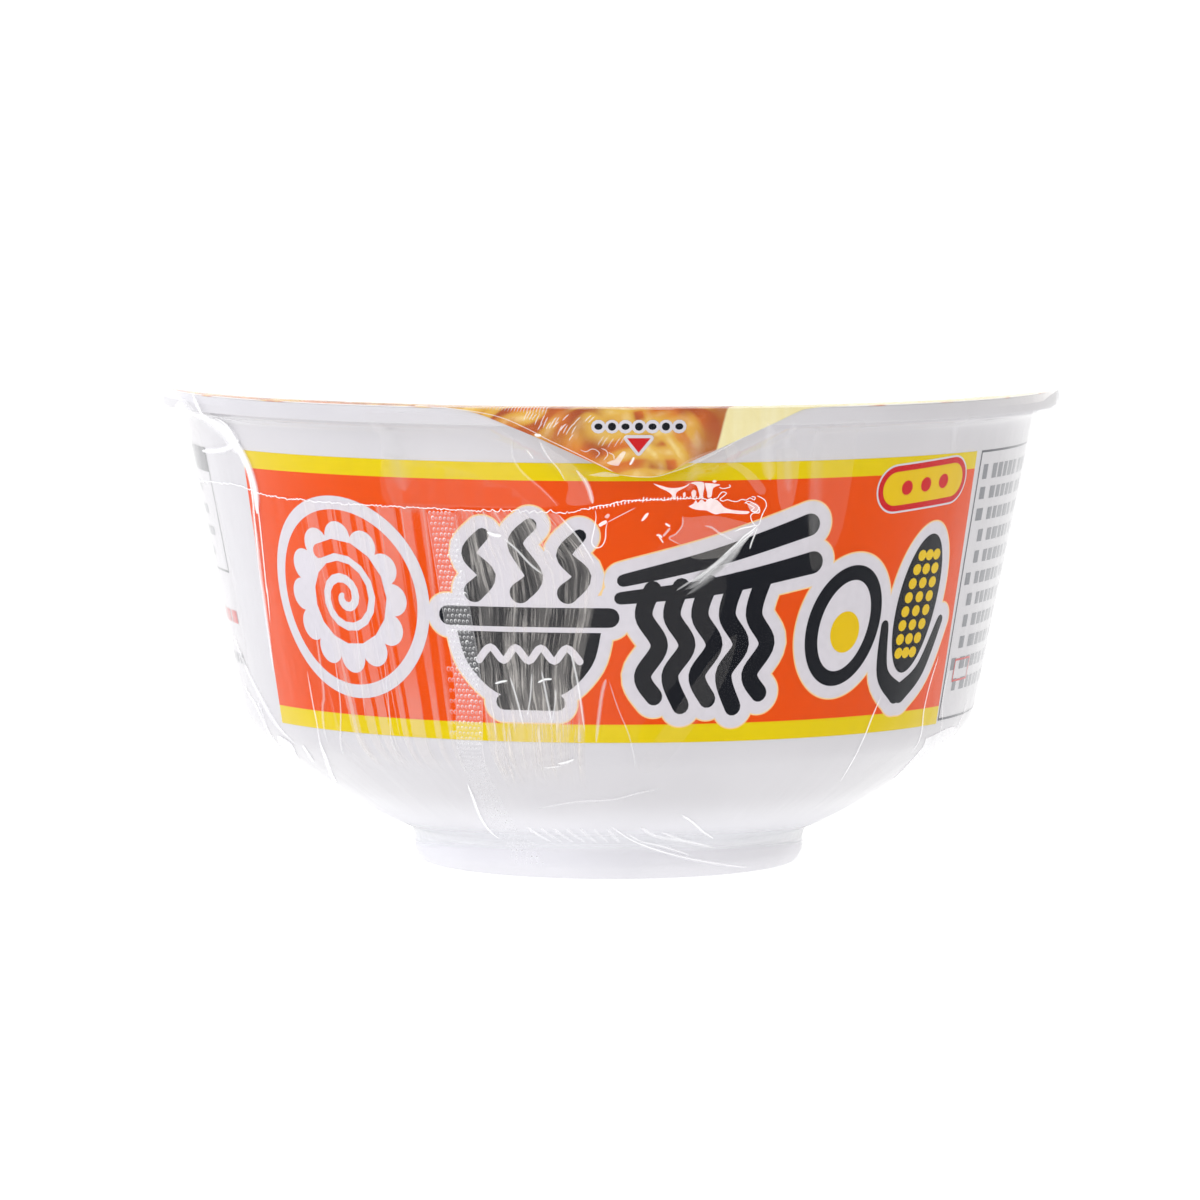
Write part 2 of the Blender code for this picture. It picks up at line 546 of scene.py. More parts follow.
@dataclass(frozen=True)
class NoodlePicture:
    """The lid's printed picture: noodles in broth, with a cream field beside it."""

    broth_dark: Colour = linear(168, 70, 18)
    broth: Colour = linear(218, 112, 24)
    noodle: Colour = linear(232, 184, 70)
    noodle_light: Colour = linear(250, 224, 146)
    cream: Colour = linear(245, 233, 172)
    cream_light: Colour = linear(253, 246, 204)
    core: Colour = linear(240, 238, 236)
    dish_centre: Pair = (-43.1 * MM, 54.9 * MM)
    dish_radius: float = 62.0 * MM
    strand_pitch: float = 4.6 * MM

    def build(self) -> bpy.types.Material:
        """The material, laid out on the lid as if the tab were unfolded.

        The mesh's "core" attribute tells the paper's cut edge from its printed face.
        """
        bench = Bench("lid_picture")
        across, depth, height = bench.place()
        out = -depth - height + 75.0 * MM
        where = bench.vector(across, out, 0.0)
        fine = bench.cloud(where, 420.0, 3.0)
        picture = self.noodles(bench, across, out, where, fine)
        reach_x = across - self.dish_centre[0]
        reach_y = out - self.dish_centre[1]
        reach = bench.math("SQRT", reach_x * reach_x + reach_y * reach_y)
        edge = reach.step(self.dish_radius - 0.2 * MM, self.dish_radius + 0.2 * MM)
        rim = reach.step(self.dish_radius - 4.6 * MM, self.dish_radius - 1.2 * MM)
        picture = bench.blend(rim * 0.8, picture, self.broth_dark)
        streak = bench.cloud(bench.vector(across * 4.0, out * 0.6, 0.1), 130.0, 2.0)
        pale = streak.step(0.3, 0.75) * 0.55
        cream = bench.blend(pale, self.cream, self.cream_light)
        printed = bench.blend(edge, picture, cream)
        turn = bench.math("ARCTAN2", across, -depth)
        patches = bench.cloud(bench.vector(turn, 0.0, 0.7), 9.0, 2.0)
        tint = bench.cloud(bench.vector(turn, 0.0, 2.2), 21.0, 1.0)
        bleed = bench.blend(tint.step(0.45, 0.6), self.broth, self.noodle)
        cut = bench.blend(patches.step(0.52, 0.66) * 0.75, self.core, bleed)
        shader = bench.principled(
            Base_Color=bench.blend(bench.attribute("core"), printed, cut),
            Roughness=0.24 + fine * 0.06,
            Specular_IOR_Level=0.3,
            Coat_Weight=0.3,
            Coat_Roughness=0.1,
        )
        return bench.surface(shader)

    def noodles(
        self,
        bench: Bench,
        across: Channel,
        out: Channel,
        where: bpy.types.NodeSocket,
        fine: Channel,
    ) -> bpy.types.NodeSocket:
        """The picture of noodles in broth.

        Args:
            bench: The material's bench.
            across: Distance to the right of the lid's middle.
            out: Distance towards the front, over the fold and down the tab.
            where: Both as one vector.
            fine: Fine mottle.

        Returns:
            The colour.
        """
        pooled = bench.cloud(where, 120.0, 2.0)
        picture = bench.blend(pooled.step(0.36, 0.62), self.broth_dark, self.broth)
        for index, (lean, rise, shift) in enumerate(
            ((0.35, 0.94, 0.05), (0.86, -0.5, 0.4), (0.62, 0.78, 0.9))
        ):
            warp = bench.cloud(bench.vector(across, out, shift), 55.0 + 8.0 * index, 1.0) - 0.5
            pitch = self.strand_pitch * (1.0 + 0.12 * index)
            lengthwise = (across * lean + out * rise + warp * (26.0 * MM)) / pitch
            ridge = abs(lengthwise.fraction() - 0.5) * 2.0
            place = bench.cloud(bench.vector(across, out, shift + 3.0), 78.0 + 9.0 * index, 1.0)
            strand = ridge.step(0.74, 0.34) * place.step(0.44, 0.60)
            gleam = ridge.step(0.40, 0.02) * fine.step(0.35, 0.62)
            colour = bench.blend(gleam, self.noodle, self.noodle_light)
            picture = bench.blend(strand * 0.85, picture, colour)
        return picture


@dataclass(frozen=True)
class ClearFilm:
    """Clear shrink film: it mirrors more the more it is seen from the side, and is a little milky."""

    name: str = "clear_film"
    front_gloss: float = 0.004
    base_haze: float = 0.001
    tint: Colour = (0.97, 0.97, 0.975)
    foot_dulling: float = 0.75

    def build(self) -> bpy.types.Material:
        """The material: see-through, with the milky haze and a painted glow both from the mesh's own
        attribute.
        """
        bench = Bench(self.name)
        haze_and_painted_glow = bench.attribute("haze_and_painted_glow")
        across, depth, height = bench.place()
        turn = bench.math("ARCTAN2", across, -depth)
        where = bench.vector(turn * PRINT_RADIUS, height * 0.3, 0.0)
        slack = bench.cloud(where, 70.0, 2.0)
        fine = bench.cloud(where, 420.0, 2.0)
        cover = self.base_haze + haze_and_painted_glow
        normal = bench.bump(slack * 0.8 + fine * 0.2, 0.5 * MM, 0.7)
        lean = bench.node("ShaderNodeLayerWeight", inputs={"Blend": 0.5, "Normal": normal})
        facing = Channel(bench, lean.outputs["Facing"])
        slant = facing * facing
        share = self.front_gloss + slant * slant * (1.0 - self.front_gloss)
        share = share * (1.0 - height.step(12.0 * MM, 8.0 * MM) * self.foot_dulling)
        mirror = bench.principled(
            Base_Color=(1.0, 1.0, 1.0),
            Metallic=1.0,
            Roughness=0.05,
            Normal=normal,
        )
        wet = bench.mix(share, bench.see_through(self.tint), mirror)
        milky_and_painted_glow = bench.principled(Base_Color=(0.93, 0.94, 0.96), Roughness=0.25, Normal=normal)
        return bench.surface(bench.mix(cover, wet, milky_and_painted_glow))


@dataclass(frozen=True)
class WhiteAndPaintedHighlightFilm:
    """Film marks: the weld's own white bead, and painted highlights and reflections where the film is
    creased, folded or slack.
    """

    name: str
    strength: float = 1.0
    grain: float = 0.0
    colour: Colour = (0.95, 0.95, 0.96)
    painted_glow: float = 0.0

    def build(self) -> bpy.types.Material:
        """The material: white gloss that fades out where the mesh's attribute says; painted_glow makes it
        glow as a painted highlight.
        """
        bench = Bench(self.name)
        cover = bench.attribute("glow") * self.strength
        if self.grain > 0.0:
            cover = cover * (1.0 - bench.cloud(None, 900.0, 2.0) * self.grain)
        white = bench.principled(
            Base_Color=self.colour,
            Roughness=0.2 + bench.cloud(None, 400.0, 1.0) * 0.1,
            Emission_Color=self.colour,
            Emission_Strength=self.painted_glow,
        )
        return bench.surface(bench.mix(cover, bench.see_through(), white))


@dataclass(frozen=True)
class PleatedFilm:
    """Film gathered into upright pleats, fine where the mesh says and broad elsewhere, their crests lit
    by painted highlights.
    """

    fine_pitch: float = 0.62
    broad_pitch: float = 2.7

    def build(self) -> bpy.types.Material:
        """The material: painted highlights on the pleat crests, over clear film.

        The mesh gives, in millimetres, how far a point lies across and down the pleats.
        """
        bench = Bench("pleat_highlight_film")
        glow = bench.attribute("glow")
        gathered = bench.attribute("gathered")
        across = bench.attribute("across")
        down = bench.attribute("down")
        sway = bench.cloud(bench.vector(across * 0.25, down * 0.12, 3.0), 1.0, 1.0) * 1.6
        along = bench.vector(across + sway, down * 0.045, 0.0)
        crests = bench.cloud(along, 1.0 / self.fine_pitch, 2.0, 0.6).step(0.50, 0.66)
        hairs = bench.cloud(along, 2.6 / self.fine_pitch, 1.0, 0.5).step(0.56, 0.68)
        bunches = bench.cloud(along, 0.33 / self.fine_pitch, 1.0, 0.5).step(0.42, 0.60)
        breaks = bench.cloud(bench.vector(across, down * 0.6, 9.0), 0.7, 2.0).step(0.35, 0.6)
        dense = 0.06 + crests * (0.14 + breaks * 0.16) + hairs * 0.17 + bunches * 0.10
        lanes = bench.vector(across + sway * 0.3, down * 0.012, 5.0)
        stripes = bench.cloud(lanes, 1.0 / self.broad_pitch, 1.0, 0.4).step(0.49, 0.53)
        thin = bench.cloud(lanes, 4.0 / self.broad_pitch, 1.0, 0.5).step(0.60, 0.64)
        sparse = stripes * 0.14 + thin * 0.15
        # Painted highlight: the white laid over the crests, hairs and stripes.
        cover = glow * (gathered * dense + (1.0 - gathered) * sparse)
        white = bench.principled(
            Base_Color=(1.0, 0.95, 0.90),
            Roughness=0.22,
            Normal=bench.bump(crests, 0.1 * MM, 0.5),
        )
        return bench.surface(bench.mix(cover, bench.see_through(), white))


# The bowl


@dataclass
class MouldedBowl:
    """The white bowl: flange, leaning wall, rounded belly, and a low foot ring."""

    rim_radius: float = 70.55 * MM
    rim_top: float = 74.75 * MM
    seal_top: float = 74.96 * MM
    lip_height: float = 2.35 * MM
    wall_top_radius: float = 67.15 * MM
    wall_lean: float = math.radians(11.14)
    shoulder_height: float = 22.2 * MM
    shoulder_rounding: float = 9.0 * MM
    belly_lean: float = math.radians(51.5)
    belly_reach: float = 21.9 * MM
    neck_radius: float = 30.4 * MM
    neck_height: float = 5.1 * MM
    foot_radius: float = 30.65 * MM
    foot_base_radius: float = 29.8 * MM
    ring_width: float = 3.4 * MM
    recess_depth: float = 1.6 * MM
    steps: int = 240

    def wall_radius(self, height: float) -> float:
        """Outer radius of the straight wall at a height."""
        below = self.rim_top - self.lip_height - height
        return self.wall_top_radius - below * math.tan(self.wall_lean)

    def under(self) -> list[Vector]:
        """The base inside the foot ring, from the axis out."""
        ring = self.foot_base_radius - self.ring_width
        floor = self.recess_depth
        points = (
            (0.0, floor),
            (ring * 0.5, floor),
            (ring - 1.6 * MM, floor),
            (ring - 1.0 * MM, floor * 0.85),
            (ring - 0.5 * MM, 0.25 * MM),
            (ring - 0.2 * MM, 0.04 * MM),
            (ring + 0.2 * MM, 0.0),
            (self.foot_base_radius - 0.5 * MM, 0.0),
        )
        return [Vector(point) for point in points]

    def foot_and_belly(self) -> list[Vector]:
        """The foot ring, the neck above it, the belly and the shoulder."""
        foot = bend(
            [
                (self.foot_base_radius - 0.15 * MM, 0.06 * MM),
                (self.foot_base_radius + 0.2 * MM, 0.5 * MM),
                (self.foot_radius, 1.7 * MM),
                (self.foot_radius - 0.05 * MM, 3.0 * MM),
                (self.neck_radius, self.neck_height - 0.7 * MM),
            ],
            3,
        )
        corner = Vector((self.wall_radius(self.shoulder_height), self.shoulder_height))
        slope = Vector((math.sin(self.belly_lean), math.cos(self.belly_lean)))
        turn = self.belly_lean - self.wall_lean
        start = corner - self.shoulder_rounding * math.tan(turn / 2) * slope
        control = corner - self.belly_reach * slope
        neck = Vector((self.neck_radius + 0.5 * MM, self.neck_height + 0.4 * MM))
        belly = interpolate_bezier(
            neck.to_3d(),
            neck.lerp(control, 2 / 3).to_3d(),
            start.lerp(control, 2 / 3).to_3d(),
            start.to_3d(),
            28,
        )
        inward = Vector((-math.cos(self.belly_lean), math.sin(self.belly_lean)))
        centre = start + self.shoulder_rounding * inward
        shoulder = []
        for step in range(1, 13):
            angle = -self.belly_lean + turn * step / 12
            spoke = Vector((math.cos(angle), math.sin(angle)))
            shoulder.append(centre + self.shoulder_rounding * spoke)
        return foot + [point.to_2d() for point in belly] + shoulder

    def lip(self) -> list[Vector]:
        """The wall's top and the flange round it, up to the flat that carries the lid."""
        under = self.rim_top - self.lip_height
        return bend(
            [
                (self.wall_top_radius, under),
                (self.wall_top_radius + 0.5 * MM, under + 0.3 * MM),
                (self.rim_radius - 1.1 * MM, under + 0.35 * MM),
                (self.rim_radius - 0.55 * MM, under + 0.08 * MM),
                (self.rim_radius - 0.12 * MM, under + 0.1 * MM),
                (self.rim_radius, under + 0.45 * MM),
                (self.rim_radius - 0.03 * MM, self.seal_top - 0.22 * MM),
                (self.rim_radius - 0.2 * MM, self.seal_top),
            ],
            3,
        )

    def build(self) -> None:
        """Builds the bowl, which stands for the CAD bowl."""
        wall_top = Vector((self.wall_top_radius, self.rim_top - self.lip_height))
        outline = self.under() + self.foot_and_belly()
        last = outline[-1]
        outline += [last.lerp(wall_top, share / 8) for share in range(1, 8)]
        outline += self.lip()
        outline += [Vector((self.rim_radius - 4.0 * MM, self.rim_top)), Vector((0.0, self.rim_top))]
        white = MouldedWhite().build()
        finish_piece("bowl_shell", spun(outline, self.steps), white, ["bowl"])


# The print


class Board:
    """A flat drawing to lay round the bowl: x runs round it from the front, y is the height, in mm."""

    def __init__(self) -> None:
        """Starts an empty drawing, whose points also carry how white they are."""
        self.bm = bmesh.new()
        self.glow = self.bm.verts.layers.float.new("glow")

    def disc(
        self,
        x: float,
        y: float,
        wide: float,
        tall: float,
        turned: float = 0.0,
        glow: float = 1.0,
    ) -> None:
        """Adds a filled ellipse.

        Args:
            x: Its centre, round the bowl.
            y: Its centre's height.
            wide: Half its width.
            tall: Half its height.
            turned: Its turn, in degrees.
            glow: How white it is.
        """
        place = (
            Matrix.Translation((x, y, 0.0))
            @ Matrix.Rotation(math.radians(turned), 4, "Z")
            @ Matrix.Diagonal((wide, tall, 1.0, 1.0))
        )
        segments = min(max(10, int(max(wide, tall) * 10)), 90)
        made = bmesh.ops.create_circle(
            self.bm, cap_ends=True, segments=segments, radius=1.0, matrix=place
        )["verts"]
        for vert in made:
            vert[self.glow] = glow

    def ring(self, x: float, y: float, size: Vector, glow: float, dim: float) -> None:
        """Adds a small open ring with a painted highlight: brightest at its upper left, as if lit from
        there.

        Args:
            x: Its centre, round the bowl.
            y: Its centre's height.
            size: Its middle radius along x and along y.
            glow: How white it is at its brightest.
            dim: How white it is opposite, on the ring's painted shaded side.
        """
        made = bmesh.ops.create_grid(self.bm, x_segments=9, y_segments=1, size=0.5)["verts"]
        for vert in made:
            angle = vert.co.x * 2 * math.pi
            reach = size * (1.0 + 0.7 * vert.co.y)
            lit_side = 0.5 + 0.5 * math.cos(angle - math.radians(120))
            vert[self.glow] = dim + (glow - dim) * lit_side
            vert.co = Vector((x + reach.x * math.cos(angle), y + reach.y * math.sin(angle), 0.0))
        bmesh.ops.remove_doubles(self.bm, verts=made, dist=0.001)

    def stroke(self, path: Sequence[Vector], width: float, end_width: float | None = None) -> None:
        """Adds a brush stroke with round ends.

        Args:
            path: The points along its middle.
            width: Its width at the start.
            end_width: Its width at the end, if another.
        """
        last = len(path) - 1
        end_width = width if end_width is None else end_width
        made = bmesh.ops.create_grid(self.bm, x_segments=last, y_segments=1, size=0.5)["verts"]
        for vert in made:
            index = round((vert.co.x + 0.5) * last)
            along = path[min(index + 1, last)] - path[max(index - 1, 0)]
            along.normalize()
            half = 0.5 * (width + (end_width - width) * index / last)
            side = half if vert.co.y > 0 else -half
            vert.co = (path[index] + side * Vector((-along.y, along.x))).to_3d()
            vert[self.glow] = 1.0
        self.disc(path[0].x, path[0].y, width / 2, width / 2)
        self.disc(path[-1].x, path[-1].y, end_width / 2, end_width / 2)

    def crease(
        self,
        path: Sequence[Vector],
        width: float,
        glow: float,
        end_width: float | None = None,
        end_glow: float | None = None,
        tip: float = 0.2,
    ) -> None:
        """Adds a pointed stroke that fades out to both sides.

        Args:
            path: The points along its middle.
            width: Its width at the start.
            glow: How white its middle is at the start.
            end_width: Its width at the end, if another.
            end_glow: How white it is at the end, if otherwise.
            tip: The share of its length over which each end narrows.
        """
        last = len(path) - 1
        end_width = width if end_width is None else end_width
        end_glow = glow if end_glow is None else end_glow
        made = bmesh.ops.create_grid(self.bm, x_segments=last, y_segments=4, size=0.5)["verts"]
        for vert in made:
            share = vert.co.x + 0.5
            index = round(share * last)
            along = path[min(index + 1, last)] - path[max(index - 1, 0)]
            along.normalize()
            narrow = min(1.0, (min(share, 1.0 - share) + 0.004) / tip) ** 0.7
            side = vert.co.y * (width + (end_width - width) * share) * narrow
            soft = 1.0 - (2 * vert.co.y) ** 2
            vert[self.glow] = (glow + (end_glow - glow) * share) * soft * soft
            vert.co = (path[index] + side * Vector((-along.y, along.x))).to_3d()

    def blob(self, outline: Sequence[Vector], grow: float = 0.0, glow: float = 1.0) -> None:
        """Adds a filled closed outline.

        Args:
            outline: Its points in order, without the first one again.
            grow: How far the fill reaches past the outline.
            glow: How white it is.
        """
        made = bmesh.ops.create_circle(
            self.bm, cap_ends=True, segments=len(outline), radius=1.0
        )["verts"]
        for vert, point in zip(made, outline):
            vert.co = point.to_3d()
            vert[self.glow] = glow
        if grow > 0.0:
            self.stroke(list(outline) + [outline[0], outline[1]], 2 * grow)

    def panel(self, left: float, low: float, right: float, high: float) -> None:
        """Adds a filled rectangle from its four sides."""
        corners = ((left, low), (right, low), (right, high), (left, high))
        self.blob([Vector(corner) for corner in corners])

    def frame(self, left: float, low: float, right: float, high: float, line: float) -> None:
        """Adds four lines round a rectangle, each of the same thickness."""
        self.panel(left, low, left + line, high)
        self.panel(right - line, low, right, high)
        self.panel(left + line, high - line, right - line, high)
        self.panel(left + line, low, right - line, low + line)

    def merge(self) -> None:
        """Joins overlapping fills into one clean sheet."""
        spots = [vert.co.to_2d() for vert in self.bm.verts]
        self.bm.verts.index_update()
        for face in self.bm.faces:
            face.normal_update()
        loops = []
        for face in self.bm.faces:
            loop = [vert.index for vert in face.verts]
            loops.append(loop if face.normal.z > 0 else loop[::-1])
        points, _edges, faces, *_rest = delaunay_2d_cdt(spots, [], loops, 1, 0.0005)
        self.bm.clear()
        made = [self.bm.verts.new(point.to_3d()) for point in points]
        for loop in faces:
            self.bm.faces.new([made[index] for index in loop])
        loose = [vert for vert in self.bm.verts if not vert.link_faces]
        bmesh.ops.delete(self.bm, geom=loose, context="VERTS")

    def slice(self, pitch: float, tall_pitch: float | None = None) -> None:
        """Cuts the drawing into narrow slices, so that it can follow a curved surface.

        Args:
            pitch: The width of an upright slice.
            tall_pitch: The height of a level slice, if it is cut both ways.
        """
        bm = self.bm
        cuts = [(0, pitch)] if tall_pitch is None else [(0, pitch), (1, tall_pitch)]
        for axis, width in cuts:
            low = min(vert.co[axis] for vert in bm.verts)
            high = max(vert.co[axis] for vert in bm.verts)
            normal = Vector((1.0 - axis, float(axis), 0.0))
            for step in range(math.ceil(low / width), math.floor(high / width) + 1):
                level = step * width
                near = [
                    face
                    for face in bm.faces
                    if min(vert.co[axis] for vert in face.verts) < level
                    and max(vert.co[axis] for vert in face.verts) > level
                ]
                edges = {edge for face in near for edge in face.edges}
                verts = {vert for face in near for vert in face.verts}
                if not near:
                    continue
                bmesh.ops.bisect_plane(
                    bm,
                    geom=list(verts) + list(edges) + near,
                    dist=0.0001,
                    plane_co=normal * level,
                    plane_no=normal,
                )

    def lay(self, place: Callable[[float, float], Vector]) -> bmesh.types.BMesh:
        """Moves every point of the drawing to its place on the object.

        Args:
            place: Gives the place for a point's x and y.

        Returns:
            The drawing's mesh, facing outwards.
        """
        for face in self.bm.faces:
            face.normal_update()
        wrong = [face for face in self.bm.faces if face.normal.z < 0]
        bmesh.ops.reverse_faces(self.bm, faces=wrong)
        for vert in self.bm.verts:
            vert.co = place(vert.co.x, vert.co.y)
        return self.bm


@dataclass
class WallPrint:
    """The print round the wall: two orange fields, each with its motifs, and two side panels."""

    bowl: MouldedBowl
    top: float = 66.8
    orange_top: float = 64.1
    orange_low: float = 26.9
    low: float = 24.1
    top_half: float = 63.4
    low_half: float = 66.4
    border: float = 1.9
    boards: dict[Ink, Board] = field(default_factory=dict)
    side_boards: dict[Ink, Board] = field(default_factory=dict)

    def board(self, ink: Ink) -> Board:
        """The drawing of one ink on an orange field."""
        return self.boards.setdefault(ink, Board())

    def side_board(self, ink: Ink) -> Board:
        """The drawing of one ink on the side panels."""
        return self.side_boards.setdefault(ink, Board())

    def at(self, degrees: float) -> float:
        """The place round the wall, in mm on a drawing, of a turn in degrees."""
        return math.radians(degrees) * PRINT_RADIUS / MM

    def half_width(self, height: float) -> float:
        """Half the width of the orange field at a height."""
        share = (self.top - height) / (self.top - self.low)
        return self.top_half + (self.low_half - self.top_half) * share

    def band(self, ink: Ink, low: float, high: float) -> None:
        """Adds one band of an orange field, from a height to another."""
        half = self.half_width(low)
        high_half = self.half_width(high)
        corners = ((-half, low), (half, low), (high_half, high), (-high_half, high))
        self.board(ink).blob([Vector(corner) for corner in corners])

    def outlined(self) -> list[tuple[Board, float]]:
        """The boards of a black mark with a white border and a pale edge, and how far each grows."""
        grown = ((Ink.BLACK, 0.0), (Ink.WHITE, self.border), (Ink.PALE, self.border + 0.22))
        return [(self.board(ink), grow) for ink, grow in grown]

    def bowl_mark(self, x: float, y: float) -> None:
        """A steaming bowl.

        Args:
            x: Its middle, round the wall.
            y: The height of its rim.
        """
        half_dish = ((11.3, 1.6), (9.9, 6.6), (5.6, 10.9))
        sides = [(x - reach, y - drop) for reach, drop in half_dish]
        others = [(x + reach, y - drop) for reach, drop in half_dish[::-1]]
        dish = bend([*sides, (x, y - 11.9), *others], 5)
        for board, grow in self.outlined():
            board.blob(dish, grow)
            board.stroke(bend([(x - 12.6, y + 0.7), (x + 12.6, y + 0.7)], 12), 3.0 + 2 * grow)
            board.stroke(bend([(x - 4.4, y - 12.4), (x + 4.4, y - 12.4)], 6), 2.4 + 2 * grow)
            for shift, tall in ((-7.2, 0.0), (0.0, 1.6), (7.2, 0.0)):
                curl = [
                    (x + shift - 0.9, y + 4.4),
                    (x + shift + 1.3, y + 7.0),
                    (x + shift - 1.3, y + 10.2 + tall),
                    (x + shift + 1.0, y + 13.2 + tall),
                ]
                board.stroke(bend(curl, 6), 3.2 + 2 * grow, 2.0 + 2 * grow)
        wave = [(x - 8.0 + step * 2.0, y - 5.0 - (-1.0) ** step) for step in range(9)]
        self.board(Ink.WHITE_TOP).stroke(bend(wave, 5), 1.15)

    def lifted_mark(self, x: float, y: float) -> None:
        """Noodles lifted by a pair of chopsticks.

        Args:
            x: Its middle, round the wall.
            y: Its middle height.
        """
        for board, grow in self.outlined():
            upper = [(x - 13.8, y + 6.6), (x, y + 10.0), (x + 14.4, y + 14.6)]
            lower = [(x - 14.2, y + 3.9), (x, y + 5.6), (x + 15.6, y + 8.8)]
            board.stroke(bend(upper, 8), 1.9 + 2 * grow, 3.5 + 2 * grow)
            board.stroke(bend(lower, 8), 1.9 + 2 * grow, 3.5 + 2 * grow)
            for index in range(5):
                start = x - 9.4 + index * 4.3
                sway = 1.25
                low = y - 12.6 + (1.4, 0.0, 0.9, -0.4, 1.6)[index]
                strand = [
                    (start, y + 5.2 + index * 0.4),
                    (start - sway, y + 1.2),
                    (start + sway, y - 3.4),
                    (start - sway, y - 8.0),
                    (start + 0.6, low),
                ]
                board.stroke(bend(strand, 7), 2.7 + 2 * grow)

    def egg_mark(self, x: float, y: float) -> None:
        """Half a boiled egg.

        Args:
            x: Its middle, round the wall.
            y: Its middle height.
        """
        for board, grow in self.outlined():
            board.disc(x, y, 7.0 + grow, 9.4 + grow, -14.0)
        self.board(Ink.WHITE_TOP).disc(x, y, 4.7, 7.1, -14.0)
        self.board(Ink.YELLOW_TOP).disc(x + 0.2, y - 1.0, 2.8, 3.2)

    def cob_mark(self, x: float, y: float) -> None:
        """A cob of corn between two leaves.

        Args:
            x: Its middle, round the wall.
            y: Its middle height.
        """
        for board, grow in self.outlined():
            board.disc(x, y + 2.2, 4.9 + grow, 10.8 + grow, -8.0)
            for side in (-1.0, 1.0):
                leaf = [
                    (x - 1.4 + side * 0.6, y - 11.6),
                    (x - 1.2 + side * 4.8, y - 8.2),
                    (x + side * 7.0, y - 0.8),
                ]
                board.stroke(bend(leaf, 7), 3.4 + 2 * grow, 1.6 + 2 * grow)
        kernels = self.board(Ink.YELLOW_TOP)
        for row in range(8):
            level = y - 5.4 + row * 2.15
            reach = 3.6 * math.sqrt(max(1.0 - ((level - y - 2.2) / 10.4) ** 2, 0.0))
            for column in (-1.0, 0.0, 1.0):
                kernels.disc(
                    x + column * reach * 0.72 + (level - y - 2.2) * 0.14, level, 0.95, 0.88
                )

    def swirl_badge(self, x: float, y: float) -> None:
        """A scalloped slice of fish cake with a swirl, inside a ring.

        Args:
            x: Its middle, round the wall.
            y: Its middle height.
        """
        self.board(Ink.WHITE).disc(x, y, 15.6, 15.6)
        self.board(Ink.ORANGE_TOP).disc(x, y, 13.5, 13.5)
        petals = self.board(Ink.WHITE_TOP)
        petals.disc(x, y, 9.6, 9.6)
        for index in range(12):
            angle = 2 * math.pi * index / 12
            petals.disc(x + 9.2 * math.cos(angle), y + 9.2 * math.sin(angle), 2.5, 2.5)
        swirl = []
        for step in range(36):
            angle = step * 0.42
            reach = 0.6 + 0.215 * step
            swirl.append(Vector((x + reach * math.cos(angle), y + reach * math.sin(angle))))
        self.board(Ink.ORANGE_SWIRL).stroke(swirl, 1.5, 2.2)

    def pill_badge(self, x: float, y: float) -> None:
        """A yellow pill with a red edge and three dots.

        Args:
            x: Its middle, round the wall.
            y: Its middle height.
        """
        path = bend([(x - 6.2, y - 0.4), (x + 6.2, y + 0.4)], 12)
        self.board(Ink.WHITE).stroke(path, 7.6)
        self.board(Ink.RED).stroke(path, 7.0)
        self.board(Ink.YELLOW_TOP).stroke(path, 5.2)
        for shift in (-4.0, 0.0, 4.0):
            self.board(Ink.RED_TOP).disc(x + shift, y + shift * 0.08, 1.15, 1.15)

    def rows_panel(self, left: float, right: float, seed: float) -> None:
        """A thin frame that holds rows of plain grey bars and one red box.

        Args:
            left: The turn of its left side, in degrees.
            right: The turn of its right side, in degrees.
            seed: Picks where the bars break.
        """
        x_left = self.at(left)
        x_right = self.at(right)
        self.side_board(Ink.DARK_GREY).frame(x_left, self.low + 0.4, x_right, self.top, 0.34)
        bars = self.side_board(Ink.GREY)
        row = 0
        level = self.top - 3.4
        while level > self.low + 3.0:
            x = x_left + (1.5 if row in (0, 1, 2, 5, 9) else 3.4)
            tall = 1.15 if row == 0 else 0.95
            count = 0
            while x < x_right - 3.0:
                length = 1.5 + 2.4 * abs(wobble(row * 1.7, count * 2.3, seed))
                length = min(length, x_right - 1.6 - x)
                bars.panel(x, level - tall, x + length, level + tall)
                x += length + (0.7 if count % 5 else 1.9)
                count += 1
            level -= 3.35
            row += 1
        self.side_board(Ink.RED).frame(
            x_left + 2.9, self.low + 6.3, x_left + 9.8, self.low + 9.9, 0.3
        )

    def side_panel(self, left: float, right: float) -> None:
        """A framed side panel with a dark heading and a few bars.

        Args:
            left: The turn of its left side, in degrees.
            right: The turn of its right side, in degrees.
        """
        x_left = self.at(left)
        x_right = self.at(right)
        dark = self.side_board(Ink.DARK_GREY)
        dark.frame(x_left, 46.6, x_right, self.top - 0.5, 0.34)
        dark.panel(x_left + 2.0, 62.4, x_right - 0.34, self.top - 0.84)
        bars = self.side_board(Ink.GREY)
        for row in range(4):
            level = 59.6 - row * 3.4
            bars.panel(x_left + 2.0, level - 0.7, x_left + 12.0 + 5.0 * (row % 2), level + 0.7)
            bars.panel(x_left + 19.0, level - 0.7, x_right - 9.0 + 2.0 * (row % 3), level + 0.7)
        for index in range(3):
            start = x_right - 13.0 + index * 4.6
            self.side_board(Ink.RED).panel(start, 38.6, start + 3.6, 40.6)
            bars.panel(start - 1.0, 32.0, start + 2.4, 33.6)

